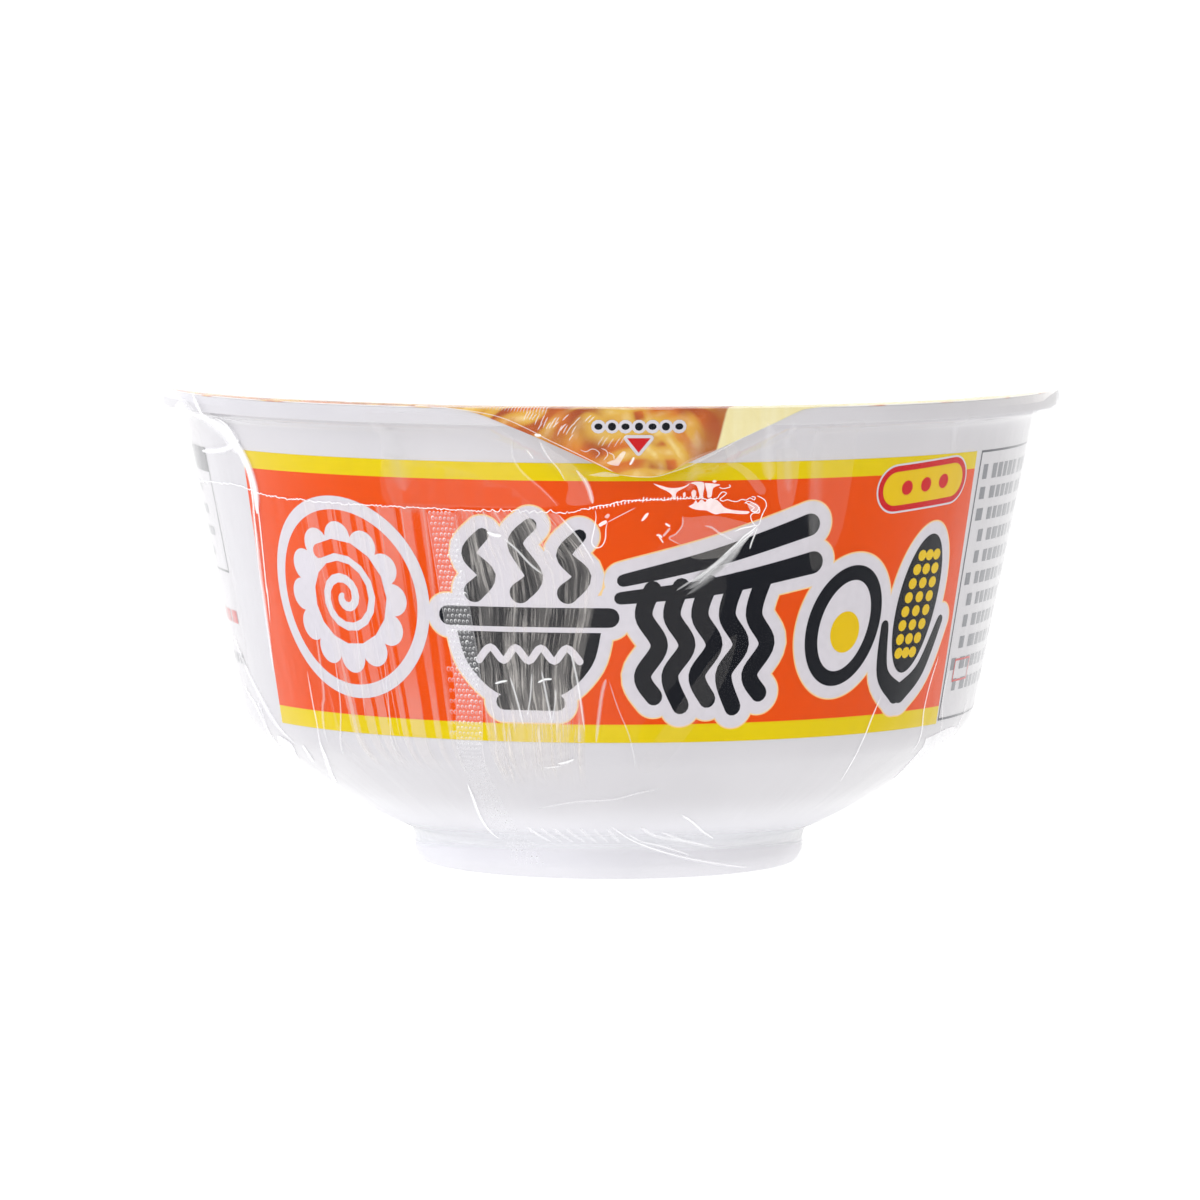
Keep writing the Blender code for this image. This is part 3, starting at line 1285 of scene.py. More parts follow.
    def lay_out(self) -> None:
        """Draws the front field and the side panels."""
        self.band(Ink.ORANGE, self.orange_low, self.orange_top)
        self.band(Ink.YELLOW, self.orange_top, self.top)
        self.band(Ink.YELLOW, self.low, self.orange_low)
        self.swirl_badge(-43.8, 45.2)
        self.bowl_mark(-12.6, 42.6)
        self.lifted_mark(15.8, 42.4)
        self.egg_mark(38.6, 41.2)
        self.cob_mark(54.0, 41.6)
        self.pill_badge(51.4, 62.3)
        self.rows_panel(61.8, 117.5, 3.0)
        self.side_panel(-117.5, -72.6)

    def place(self, ink: Ink) -> Callable[[float, float], Vector]:
        """The rule that lays an ink round the wall."""
        return lambda x, y: around(
            self.bowl.wall_radius(y * MM) + ink.lift, x * MM / PRINT_RADIUS, y * MM
        )

    def build(self) -> None:
        """Builds one thin piece for each ink, laid round the wall, the front field also behind."""
        self.lay_out()
        finishes = {ink: ink.finish.build() for ink in {**self.boards, **self.side_boards}}
        for ink, board in self.boards.items():
            board.merge()
            board.slice(1.6)
            bm = board.lay(self.place(ink))
            behind = bmesh.ops.duplicate(bm, geom=bm.verts[:] + bm.edges[:] + bm.faces[:])
            turned = [part for part in behind["geom"] if isinstance(part, bmesh.types.BMVert)]
            half_turn = Matrix.Rotation(math.pi, 3, "Z")
            bmesh.ops.rotate(bm, verts=turned, cent=(0, 0, 0), matrix=half_turn)
            finish_piece(f"print_{ink.name.lower()}", bm, finishes[ink])
        for ink, board in self.side_boards.items():
            board.slice(1.6)
            for vert in board.bm.verts:
                if vert.co.x > 0.0:
                    vert.co.x += 0.66 * (self.half_width(vert.co.y) - self.low_half)
            bm = board.lay(self.place(ink))
            finish_piece(f"panel_{ink.name.lower()}", bm, finishes[ink])


# The lid


@dataclass
class PaperLid:
    """The printed lid and the pull tab folded down over the rim."""

    radius: float = 70.6 * MM
    top: float = 75.2 * MM
    tab_turn: float = math.radians(3.8)
    tab_half: float = 25.6 * MM
    flank: float = math.radians(24.3)
    tip_rounding: float = 11.3 * MM
    shoulder: float = 7.0 * MM
    left_flare: float = 0.75 * MM
    right_flare: float = 0.3 * MM
    tab_lean: float = math.radians(11.0)
    fold_radius: float = 0.55 * MM
    thickness: float = 0.22 * MM
    steps: int = 240

    def tab_depth(self, along: float) -> float:
        """How far the tab hangs below the fold, at a distance along the rim from its middle."""
        reach = self.tip_rounding * math.sin(self.flank)
        if abs(along) >= reach:
            flank = (self.tab_half - abs(along)) * math.tan(self.flank)
            flare = self.left_flare if along < 0.0 else self.right_flare
            softened = 0.5 * (flank + math.sqrt(flank * flank + 4.0 * flare * flare))
            fade = ease(abs(along), self.tab_half + self.shoulder, self.tab_half)
            near = ease(abs(along), self.tab_half * 0.55, self.tab_half * 0.8)
            return max(flank + (softened - flank) * near, 0.0) * fade
        start = (self.tab_half - reach) * math.tan(self.flank)
        rise = math.sqrt(self.tip_rounding**2 - along**2)
        return start + rise - self.tip_rounding * math.cos(self.flank)

    def hang(self, along: float, drop: float) -> Vector:
        """A point on the tab.

        Args:
            along: Distance along the rim from the tab's middle.
            drop: Distance from the start of the fold, down the paper.

        Returns:
            The point, on the outer face.
        """
        quarter = self.fold_radius * math.pi / 2
        turn = self.tab_turn + along / self.radius
        edge = self.radius + 0.15 * MM
        if drop < quarter:
            angle = drop / self.fold_radius
            radius = edge - self.fold_radius * (1.0 - math.sin(angle))
            height = self.top - self.fold_radius * (1.0 - math.cos(angle))
        else:
            below = drop - quarter
            radius = edge - max(below - 1.6 * MM, 0.0) * math.sin(self.tab_lean)
            height = self.top - self.fold_radius - below * math.cos(self.tab_lean * 0.7)
        ripple = 0.10 * MM * wobble(along / (6 * MM), drop / (5 * MM), 4.0)
        return around(radius + ripple, turn, height)

    def build_disc(self, material: bpy.types.Material) -> None:
        """Builds the disc on the flange.

        Args:
            material: The lid's printed paper.
        """
        low = self.top - self.thickness
        outline = (
            (0.0, self.top),
            (self.radius * 0.4, self.top),
            (self.radius * 0.8, self.top),
            (self.radius - 3.4 * MM, self.top - 0.02 * MM),
            (self.radius - 2.2 * MM, self.top + 0.05 * MM),
            (self.radius - 0.5 * MM, self.top),
            (self.radius - 0.1 * MM, self.top - 0.1 * MM),
            (self.radius - 0.1 * MM, low),
            (self.radius - 3.0 * MM, low),
            (0.0, low),
        )
        bm = spun([Vector(point) for point in outline], self.steps)
        core = bm.verts.layers.float.new("core")
        for vert in bm.verts:
            on_edge = math.hypot(vert.co.x, vert.co.y) > self.radius - 0.3 * MM
            vert[core] = 1.0 if on_edge or vert.co.z < self.top - 0.1 * MM else 0.0
        finish_piece("lid_disc", bm, material, ["lid"])

    def build_tab(self, material: bpy.types.Material) -> None:
        """Builds the tab, from the start of its fold to its tip.

        Args:
            material: The lid's printed paper.
        """
        bm = bmesh.new()
        made = bmesh.ops.create_grid(bm, x_segments=120, y_segments=28, size=0.5)["verts"]
        for vert in made:
            along = vert.co.x * 2 * (self.tab_half + self.shoulder - 0.05 * MM)
            share = 0.5 - vert.co.y
            depth = self.tab_depth(along) + self.fold_radius * 0.4
            vert.co = self.hang(along, depth * share)
        bmesh.ops.remove_doubles(bm, verts=bm.verts, dist=0.001 * MM)
        bmesh.ops.recalc_face_normals(bm, faces=bm.faces)
        outward = sum((face.normal.dot(face.calc_center_median()) for face in bm.faces))
        if outward < 0:
            bmesh.ops.reverse_faces(bm, faces=bm.faces)
        bmesh.ops.solidify(bm, geom=bm.faces[:], thickness=0.2 * MM)
        finish_piece("lid_tab", bm, material)

    def build_arrow(self) -> None:
        """Builds the red arrow on the tab, and a row of small dots above it."""
        marks = {Ink.WHITE: Board(), Ink.RED: Board(), Ink.BLACK: Board()}
        centre = -0.4
        triangle = ((centre - 1.75, 4.75), (centre + 1.75, 4.75), (centre, 6.95))
        corners = [Vector(corner) for corner in triangle]
        marks[Ink.RED].blob(corners)
        marks[Ink.WHITE].blob(corners)
        for start, end in zip(corners, corners[1:] + corners[:1]):
            marks[Ink.WHITE].stroke([start, start.lerp(end, 0.5), end], 0.95)
        for index in range(7):
            x = centre - 6.0 + index * 2.0
            marks[Ink.BLACK].disc(x, 3.0, 0.62, 0.5 + 0.12 * (index % 2))
            marks[Ink.WHITE].disc(x, 3.0, 1.1, 1.05)
        for ink, board in marks.items():
            board.merge()
            board.slice(0.8, 0.8)
            bm = board.lay(self.tab_place(ink))
            bmesh.ops.reverse_faces(bm, faces=bm.faces)
            finish_piece(f"tab_{ink.name.lower()}", bm, ink.finish.build())

    def tab_place(self, ink: Ink) -> Callable[[float, float], Vector]:
        """The rule that lays an ink on the tab."""

        def place(x: float, y: float) -> Vector:
            """A point of the drawing on the tab.

            Args:
                x: Distance along the rim from the tab's middle, in mm.
                y: Distance down the tab, in mm.

            Returns:
                The point.
            """
            spot = self.hang(x * MM, y * MM)
            outward = Vector((spot.x, spot.y, 0.0)).normalized()
            return spot + (ink.lift + 0.01 * MM) * outward

        return place

    def build_toppings(self) -> None:
        """Builds the pictures of toppings on the lid's printed dish, and its orange corner."""
        inks = (Ink.ORANGE_TOP, Ink.YELLOW, Ink.WHITE, Ink.YELLOW_TOP, Ink.GREEN)
        boards = {ink: Board() for ink in inks}
        rim = 67.5
        turn = Matrix.Rotation(math.radians(38.0), 2)
        for ink, near in ((Ink.YELLOW, 22.0), (Ink.ORANGE_TOP, 25.0)):
            start = math.acos(near / rim)
            angles = [start * (step / 20 - 1.0) for step in range(41)]
            arc = [turn @ Vector((rim * math.cos(angle), rim * math.sin(angle))) for angle in angles]
            boards[ink].blob(arc)
        for x, y, angle in ((-40.0, -6.0, 30.0), (-9.0, -33.0, -35.0)):
            boards[Ink.WHITE].disc(x, y, 9.6, 12.6, angle)
            boards[Ink.YELLOW_TOP].disc(x + 0.6, y - 0.8, 5.2, 5.6, angle)
        for index in range(38):
            angle = index * 2.4
            reach = 2.4 * math.sqrt(index)
            x = -37.0 + reach * math.cos(angle)
            y = -38.0 + 0.9 * reach * math.sin(angle)
            if math.hypot(x, y) < 64.0:
                boards[Ink.YELLOW_TOP].disc(x, y, 2.1, 1.6, math.degrees(angle))
        for index in range(34):
            x = -30.0 + 40.0 * wobble(index * 1.37, 0.4, 11.0)
            y = -26.0 + 44.0 * wobble(0.7, index * 1.71, 12.0)
            if math.hypot(x, y) < 62.0 and math.hypot(x + 43.0, y + 55.0) < 56.0:
                boards[Ink.GREEN].disc(x, y, 1.9, 1.7)
        for ink, board in boards.items():
            board.merge()
            bm = board.lay(self.disc_place(ink))
            finish_piece(f"lid_{ink.name.lower()}", bm, ink.finish.build())

    def disc_place(self, ink: Ink) -> Callable[[float, float], Vector]:
        """The rule that lays an ink flat on the lid."""
        return lambda x, y: Vector((x * MM, y * MM, self.top + ink.lift))

    def build(self) -> None:
        """Builds the disc, the tab and the print on them."""
        material = NoodlePicture().build()
        self.build_disc(material)
        self.build_tab(material)
        self.build_arrow()
        self.build_toppings()


# The film


@dataclass
class ShrinkFilm:
    """The clear film shrunk round the bowl and its lid."""

    bowl: MouldedBowl
    lid: PaperLid
    lift: float = 0.16 * MM
    rim_radius: float = 71.0 * MM
    top: float = 75.55 * MM
    steps: int = 420
    slack: float = 0.12 * MM
    tab_gap: float = 0.15 * MM
    tab_blend: float = 9.0 * MM
    blend_low: float = 46.0 * MM
    leave_height: float = 68.5 * MM
    profile: list[Vector] = field(default_factory=list)

    def outline(self) -> list[Vector]:
        """The film's outline, from under the foot to the middle of the top."""
        points = [
            (0.0, 0.03 * MM),
            (14.0 * MM, 0.03 * MM),
            (24.0 * MM, 0.02 * MM),
            (self.bowl.foot_base_radius - 0.4 * MM, 0.0),
            (self.bowl.foot_base_radius + 0.2 * MM, 0.12 * MM),
        ]
        for off, height in pairs("0.12,1.7 0.1,2.3 0.08,2.9 0.06,3.5 0.1,4.1 0.3,4.8"):
            points.append((self.bowl.foot_radius + off * MM, height * MM))
        foot = [Vector(point) for point in points]
        belly = [
            point + self.lift * Vector((0.6, -0.8))
            for point in self.bowl.foot_and_belly()
            if point.x > self.bowl.foot_radius + 0.7 * MM
        ]
        last = belly[-1]
        start = self.leave_height
        leave = Vector((self.bowl.wall_radius(start) + self.lift, start))
        wall = [last.lerp(leave, share / 44) for share in range(1, 45)]
        tuck = bend(
            [
                (leave.x, leave.y),
                (leave.x + 0.75 * MM, 70.6 * MM),
                (leave.x + 2.3 * MM, 71.7 * MM),
                (self.rim_radius - 0.35 * MM, 72.1 * MM),
                (self.rim_radius, 72.9 * MM),
                (self.rim_radius, 74.6 * MM),
                (self.rim_radius - 0.3 * MM, 75.4 * MM),
                (self.rim_radius - 1.6 * MM, self.top),
            ],
            3,
        )
        shares = (0.9, 0.75, 0.6, 0.4, 0.2, 0.0)
        top = [Vector((self.rim_radius * share, self.top)) for share in shares]
        return foot + belly + wall + tuck[1:] + top

    def shaped(self, spot: Vector) -> Vector:
        """The place of a film point, pushed out over the tab and gently waved.

        Args:
            spot: The point on the turned film.

        Returns:
            The point on the real film.
        """
        radius = math.hypot(spot.x, spot.y)
        if radius < 1.0 * MM or spot.z < 0.1 * MM:
            return spot.copy()
        if spot.z > self.top - 0.01 * MM:
            lift = 0.04 * MM * wobble(spot.x * 60, spot.y * 60, 3.0)
            return spot + Vector((0.0, 0.0, lift))
        turn = math.atan2(spot.x, -spot.y)
        along = (turn - self.lid.tab_turn) * self.lid.radius
        around_x = 6.0 * math.sin(turn)
        around_y = 6.0 * math.cos(turn)
        wave = noise.noise(Vector((around_x, around_y, spot.z / (14 * MM))))
        push = self.slack * max(wave + 0.4, 0.0)
        height = spot.z
        fold = self.lid.top
        if radius > 40 * MM and 45 * MM < height < 74.2 * MM:
            depth = self.lid.tab_depth(0.0)
            if height > fold - depth:
                half = self.lid.tab_half - max(fold - height, 0.0) / math.tan(self.lid.flank)
                edge = self.lid.hang(0.0, max(fold - height, 0.0)).to_2d().length + self.tab_gap
            else:
                half = 0.0
                tip = self.lid.hang(0.0, depth).to_2d().length + self.tab_gap
                share = ease(height, self.blend_low, fold - depth)
                bottom = self.bowl.wall_radius(fold - depth) + self.lift
                edge = radius + (tip - bottom) * share * share
            outside = abs(along) - max(half, 0.0) - 1.2 * MM
            share = 1.0 - ease(outside / self.tab_blend)
            push = max(push, (edge - radius) * share + self.slack)
        scale = 1.0 + push / radius
        return Vector((spot.x * scale, spot.y * scale, spot.z))

    def radius_at(self, height: float) -> float:
        """The turned film's radius at a height, up to where it lies flat on the lid."""
        if not self.profile:
            self.profile = [point for point in self.outline() if point.x > 29.3 * MM]
        for start, end in zip(self.profile, self.profile[1:]):
            if start.y <= height <= end.y and end.y > start.y:
                return start.x + (end.x - start.x) * (height - start.y) / (end.y - start.y)
        return self.profile[0].x if height < self.profile[0].y else self.rim_radius - 1.6 * MM

    def spot(self, x: float, y: float, lift: float) -> Vector:
        """A point over the film.

        Args:
            x: Its place round the bowl from the front, in mm on a drawing.
            y: Its height, in mm.
            lift: How far it stands off the film.

        Returns:
            The point.
        """
        turn = x * MM / PRINT_RADIUS
        height = min(max(y * MM, 0.13 * MM), self.top - 0.02 * MM)
        here = self.shaped(around(self.radius_at(height), turn, height))
        beside = self.shaped(around(self.radius_at(height), turn + 0.003, height))
        other = height + (0.1 * MM if height < 75.3 * MM else -0.1 * MM)
        above = self.shaped(around(self.radius_at(other), turn, other))
        outward = (beside - here).cross((above - here) * (1 if other > height else -1))
        return here + outward.normalized() * lift

    def build_sheet(self) -> None:
        """Builds the film itself, which stands for the CAD film."""
        bm = spun(self.outline(), self.steps)
        for vert in bm.verts:
            vert.co = self.shaped(vert.co)
        haze_and_painted_glow = bm.verts.layers.float.new("haze_and_painted_glow")
        for vert in bm.verts:
            level = wobble(vert.co.x * 40, (vert.co.y + vert.co.z) * 40, 7.0)
            radius = max(vert.co.to_2d().length, 1.0 * MM)
            # Painted highlight: a milky band just above the foot, higher at the front and back than at
            # the sides, stands in for bright light on the belly's lower edge.
            aim = abs(vert.co.y) / radius
            edge = (2.6 + 2.5 * aim) * MM
            band = ease(vert.co.z, edge - 0.5 * MM, edge + 0.5 * MM)
            band *= ease(vert.co.z, edge + 4.0 * MM, edge + 2.0 * MM)
            vert[haze_and_painted_glow] = 0.008 * max(level, 0.0) + (0.86 - 0.5 * aim) * band
        finish_piece("film_sheet", bm, ClearFilm().build(), ["film"], 80.0)

    def build_ears(self) -> None:
        """Builds the two small corners of slack film that stand out from the rim."""
        bm = bmesh.new()
        haze_and_painted_glow = bm.verts.layers.float.new("haze_and_painted_glow")
        for side, tall in ((-1.0, 2.8), (1.0, 1.4)):
            made = bmesh.ops.create_grid(bm, x_segments=14, y_segments=6, size=0.5)["verts"]
            for vert in made:
                share = vert.co.y + 0.5
                turn = side * math.pi / 2 + vert.co.x * 0.16 * (1.0 - 0.75 * share)
                rise = tall * share * MM
                fold = 0.25 * MM * math.sin(vert.co.x * 16.0) * share
                reach = self.rim_radius - 0.35 * MM + rise * 0.95 + fold
                vert[haze_and_painted_glow] = 0.06 + 0.10 * abs(math.sin(vert.co.x * 9.0)) * share
                vert.co = around(reach, turn, 75.25 * MM + rise * 0.6)
        finish_piece("film_ears", bm, ClearFilm("ear_film").build())

    def build(self) -> None:
        """Builds the film and its slack corners."""
        self.build_sheet()
        self.build_ears()


def arcs(points: str | Sequence[Pair], steps: int = 8) -> list[Vector]:
    """A smooth path through places on the bowl.

    Args:
        points: The places, each its turn from the front in degrees and its height in mm, also as
            text.
        steps: How many pieces each stretch is cut into.

    Returns:
        The path on a drawing, in mm.
    """
    if isinstance(points, str):
        points = pairs(points)
    scale = math.radians(1.0) * PRINT_RADIUS / MM
    return bend([(turn * scale, height) for turn, height in points], steps)


def closed_arcs(outline: str, steps: int) -> list[Vector]:
    """A smooth closed outline through places on the bowl.

    Args:
        outline: The places, as text.
        steps: How many pieces each stretch is cut into.

    Returns:
        The outline on a drawing, without the first point again.
    """
    points = pairs(outline)
    return arcs([*points, points[0]], steps)[:-1]


def even(path: Sequence[Vector], pitch: float) -> list[Vector]:
    """The same path with points at an even distance.

    Args:
        path: The path.
        pitch: The distance between two points.

    Returns:
        The new path.
    """
    made = [path[0].copy()]
    for point in path[1:]:
        while (point - made[-1]).length > pitch:
            made.append(made[-1] + (point - made[-1]).normalized() * pitch)
    return made


@dataclass
class FilmMarks:
    """What makes the film seen: its weld, its vents, pleats, creases, folds and gleams, mostly as painted
    highlights and reflections.
    """

    film: ShrinkFilm
    weld_step: float = 0.26
    weld_bead: float = 0.082
    curl_bead: float = 0.075
    vent_columns: int = 6
    vent_pitch: float = 0.66
    vent_row: float = 0.84
    vent_size: Pair = (0.19, 0.23)
    weld: str = (
        "-86,60.2 -70,61 -60.7,61.2 -52.7,60 -36.9,59.7 -18.8,59.5 -12,59.6 -5.7,59.4 -2.6,60.1 1.1,61.1 "
        "5.5,61.6 13.7,61.4"
    )
    weld_curls: tuple[str, ...] = (
        "13.7,61.4 14.2,61.5 14.5,62 14.9,62.4 15.4,62.2 15.1,61.8 14.6,61.3 15,61 15.6,61.2 16.2,61 "
        "16.9,60.9 17.6,61.2 18.2,61.1 18.7,61.4 19.3,61.1 19.4,61.5 18.9,61.6",
        "18,60.6 18.5,60.9 19.2,60.6 19.8,60.2 20.2,59.6 20.1,59.1 19.4,59.1 19,58.7 19.2,57.9 19.8,57.2 "
        "20.3,57.4 20.5,58.4 20.8,59.3 21.1,60.1 20.9,60.9 20.3,61.4 19.7,61.7",
        "14.4,63.1 14.9,62.9 15.5,63 15.9,63.2 15.7,63.5",
        "18.2,60.7 18.8,60.3 19.4,59.9 19,59.5 19.7,59.3 20.2,60",
    )
    weld_behind: str = "96,60.1 125,60.8 150,60.1 175,60.9 200,60.2 225,60.9 250,60 274,60.2"
    glints: str = (
        "-6.9,72.3 -6,72 -5.7,73.4 -4.9,72.2 -4.3,73 -3,73.3 -2.6,73.1 -1.5,69.7 -1,69.6 -0.3,69.4 "
        "0.5,69.5 1.2,69.9"
    )
    short_glints: int = 7
    folds: tuple[tuple[float, str], ...] = (
        (0.05,
            "-31,74 -18,74 -12,71 -12.5,69.2 -12.6,67.9 -12.1,66.7 -11.4,65.4 -10.2,64 -8.9,62.9 "
            "-7.6,61.7 -6.8,60.4 -12,59.9 -20,59.9 -30,59.8"),
        (0.04, "-31,68 -20,65.6 -15.5,63.8 -12.9,63 -11.4,61.5 -10.6,60.1 -20,59.9 -31,59.9"),
        (0.10,
            "-8.5,70.3 -8,68.9 -7.4,67.4 -6.7,66.3 -6.1,64.9 -5.4,63.4 -5.6,60.6 -2.2,60.8 -2.5,62.4 "
            "-2.7,63.6 -3.4,65 -4.6,67"),
        (0.13,
            "9.5,58.8 10.7,58.6 12.6,58.8 14.6,58.7 16.6,58.2 18.6,57.6 19.5,56.9 19,56.1 18,55 "
            "16.8,53.7 15.5,52.5 14.1,52.3 12.1,52.2 10.9,52.6 11.2,53.4 9.7,54.5 8.2,55.5 8.8,56.2 "
            "9.4,57.3"),
        (0.02,
            "-1.8,50 3.4,51.6 8,55.3 10.7,53.4 12.1,52.2 15.4,52.4 16.2,47 14.8,41 11.8,36.4 5,27.2 "
            "3.6,24 -3.9,24 -3.6,28 -4.2,34 -2.6,42"),
        (0.035, "14.2,36.2 18.2,40.6 16.8,33.4 12,25.6 7.4,19.5 4.6,20.5 8.6,27.4"),
        (0.12,
            "13.9,69.4 15,66.8 16.6,65.7 18,64.4 19.6,62.2 20.6,61.9 20.8,62.8 19.2,64.9 17.4,66.4 "
            "16,67.3 15.3,69.8"),
        (0.10, "21.8,68.6 22.2,65.5 22.8,61 24.2,58.2 25.2,62 25,68.4"),
        (0.13, "7.8,65.9 9.2,67.3 11.4,68.5 14.2,69.5 13.3,68.8 11.1,67.5 9.5,66.6"),
        (0.35, "-2.7,65.2 -1.1,65.7 -0.2,65.7 1.2,65.2 -0.4,65"),
        (0.06, "-86,70 -74,70 -70,50 -72,30 -84,30"),
        (0.05, "27,72 33,72 33,56 29,50 27.4,60"),
    )
    creases: tuple[tuple[float, float, str], ...] = (
        (4.6, 0.9, "-71,72.8 -67,72 -63,70.3 -60.4,68.2 -58.8,66.6"),
        (1.0, 1.0, "-64.9,75.2 -62.4,73 -61,70.8 -59.4,68 -58.2,66.2"),
        (2.6, 1.0, "-60.4,68.6 -58.2,66 -57,63.4 -56.6,60.6 -57,57"),
        (0.6, 0.95, "-58.9,66.4 -57.6,63.6 -57.5,60 -58.2,55 -59.2,49"),
        (0.5, 0.9, "-56.4,61.6 -56.6,57 -57.2,52 -58.2,45 -59,40"),
        (1.4, 0.5, "-58,58 -58.8,50 -59.8,42 -60.8,32"),
        (1.1, 0.9, "-58.4,68.4 -62.5,66.8 -67.5,66.1 -73.5,65.7"),
        (1.8, 0.5, "-77.5,28.5 -71.5,25.9 -69.5,23.6 -70.7,21 -75,18.4"),
        (1.0, 0.5, "-80.7,24.8 -77.9,22 -77,19.6 -76.1,17.8"),
        (0.9, 0.5, "-70.3,27.5 -68.5,23.8 -70.5,21 -72.5,19.6"),
        (2.2, 0.5, "-77.9,36.6 -72,31 -66.9,26.7 -60.6,20.8"),
        (2.0, 0.95, "-64.6,21.6 -65.5,20.4 -68,18.8 -72,17.4"),
        (0.9, 1.0, "-58,20.8 -59.9,19.3 -62.8,17.6"),
        (0.9, 1.0, "-51.8,22 -53.2,20.2 -56.9,17.8 -62.6,15.2 -67.1,13.6"),
        (0.5, 0.55, "-51,33 -50.9,27.7 -50.8,24.3 -52.1,21.5"),
        (0.9, 0.28, "-47.4,40 -47.8,30.3 -48.7,27.4 -49.6,22"),
        (0.45, 0.4, "-44.2,36 -44.4,28.7 -45.5,24 -47.8,20.1"),
        (0.35, 0.35, "-34.6,36 -34.8,28 -35.6,19"),
        (0.3, 0.35, "-39,50 -39,40 -39.6,26"),
        (0.8, 1.0, "-25.4,16.6 -26.6,13.6 -28.6,10.4 -30.3,7.4 -30.6,6.2"),
        (0.5, 0.8, "57.6,35 56.4,30 56.4,25 59.4,19.4"),
        (0.45, 0.8, "44.8,30 42.8,24.6 42.8,20.6 46.3,15.5"),
        (0.6, 0.7, "74,27 73,22 74.4,17"),
        (0.35, 0.6, "62,33 62,27 66,20"),
        (0.5, 0.18, "-12.2,70.2 -12.6,67.9 -11.4,65.4 -8.9,62.9 -6.9,60.4"),
        (0.4, 0.45, "-8.5,70.3 -8,68.9 -7.4,67.4 -6.7,66.3 -5.8,64.1"),
        (0.5, 0.55, "-10.4,68.9 -10.1,68.2 -9.8,67.5"),
        (0.9, 0.55, "-4.2,66 -3.2,64.2 -2.7,63 -2.4,61.8 -2.2,60.8"),
        (0.25, 0.85,
            "-1.9,59.8 -1.8,58.6 -2.1,56.7 -2.4,54.9 -1.9,54.1 -1.1,54.3 -0.6,55.4 -0.5,57 -0.3,58"),
        (0.2, 0.6, "-0.3,58 0.6,58.6 1.8,59.4 3.2,60.3"),
        (0.45, 0.5, "-6.8,59 -4.8,56.4 -3.4,54.2 -2,51.6"),
        (0.5, 0.6, "-5.6,38.4 -5,35.6 -4.4,32 -3.7,26"),
        (0.45, 0.6, "-14.5,34.2 -13.6,30.6 -12.8,26.6"),
        (0.4, 0.55, "-11.2,34.8 -11.6,31 -12.2,28"),
        (0.5, 0.6, "-9.8,35.2 -9.2,31.2 -8.5,27"),
        (0.35, 0.55, "-7.8,32.4 -8,30 -8.5,27"),
        (0.8, 0.35, "-0.5,34 -1.2,31 -2,24"),
        (0.22, 0.4, "-0.1,33.7 1.2,29.6 3,25 4.2,20"),
        (0.5, 0.95, "-16.8,33 -15.9,33.3 -14.9,33.5"),
        (0.5, 0.95, "-10.4,33.3 -9.4,33.8 -8.3,33.9"),
        (0.8, 0.95, "-16.6,56.2 -16,55.9 -15.2,55.7 -14.6,55.7"),
        (0.5, 0.6, "-14.4,55.4 -12.6,53.6 -10.8,51.4 -9.2,50"),
        (0.45, 0.95, "7.2,57.8 7.5,57.6 7.9,57.3"),
        (0.5, 0.5, "7.9,57.1 7.5,56.5 7,55.8"),
        (0.45, 0.95, "6.1,56 6.5,56 6.9,55.6"),
        (0.3, 0.9, "6.4,55.9 6.8,55.3 7.1,54.8"),
        (0.4, 0.9, "20,57.3 18.9,57 17.9,56.8 16.8,56.3"),
        (0.55, 0.85, "20.1,57.2 19.2,56.3 18.2,55.5 17.2,54.3 15.5,52.7"),
        (0.4, 0.75, "19.8,56.6 18.8,55.5 17.8,54.6 16.7,53.3"),
        (0.35, 0.85, "20.1,56.9 19.8,55.9 19.4,54.6 19.2,53.6"),
        (0.9, 0.4, "17.2,54.4 15.6,52.4 13.6,50.4 11.4,48.8"),
        (0.5, 0.4, "15.1,52 12.4,49.8 9.2,47.5"),
        (0.5, 0.4, "12.7,57.3 13.7,57 14.7,56.2 15.9,55.5 16.8,55"),
        (0.35, 0.4, "9.5,58.8 9.6,57.5 8.8,56.2 7.9,55.5 9.7,54.4"),
        (2.4, 0.08, "10.4,72 10.6,66 10.2,62.6"),
        (2.4, 0.16, "19.2,73 20.6,68 21.4,64"),
        (1.8, 0.10, "22.6,73 23.4,68 24.2,62"),
        (3.0, 0.07, "27,72 28,64 28.6,55"),
        (2.0, 0.10, "50,72.6 51.4,70 52,67"),
        (4.0, 0.08, "-30,73 -29,68 -28,62"),
        (0.17, 0.6, "-24,75.25 -19.6,75 -15.4,74.4 -12.7,73.6 -10,72.2 -7.4,70.5 -5.4,69.3"),
        (0.22, 0.55, "-7,70.3 -4,68.5 -0.9,66.6 0.4,65.8"),
        (0.2, 0.45,
            "0.2,65.5 2,65.2 3.9,65 5.8,65.1 7.8,65.8 9.5,66.5 11.1,67.4 13.3,68.8 15.8,70.5 18,71.7"),
        (0.2, 0.6, "-3.6,69.1 -2.9,68.8 -2.2,69.2 -1.6,69 -1.3,68.5 -1.8,67.8"),
        (0.2, 0.6, "-1.1,69.3 -0.5,69 -0.3,68.3 -0.8,67.5"),
        (0.2, 0.6, "-0.2,68.7 0.4,68.3 0.5,67.5"),
        (0.5, 0.95, "2.4,66.8 2.7,67.4 2.9,68"),
        (0.6, 1.0, "-9.1,71.3 -8.7,71.2 -8.3,71.2"),
        (0.5, 0.8, "0.2,9.6 5.5,6.8 14,4.6 27.4,2.6 46,0.8"),
        (0.6, 0.6, "3.8,8.2 8.4,6.4 14.4,5.4 24,3.6"),
        (0.5, 0.8, "15,11.4 17.6,10.3 23,8 28.6,6.4"),
        (0.8, 0.5, "7.1,9.2 11.9,7.4 22.6,5.9"),
        (0.7, 0.6, "12.4,8.2 19.3,6.5 32.2,4.5"),
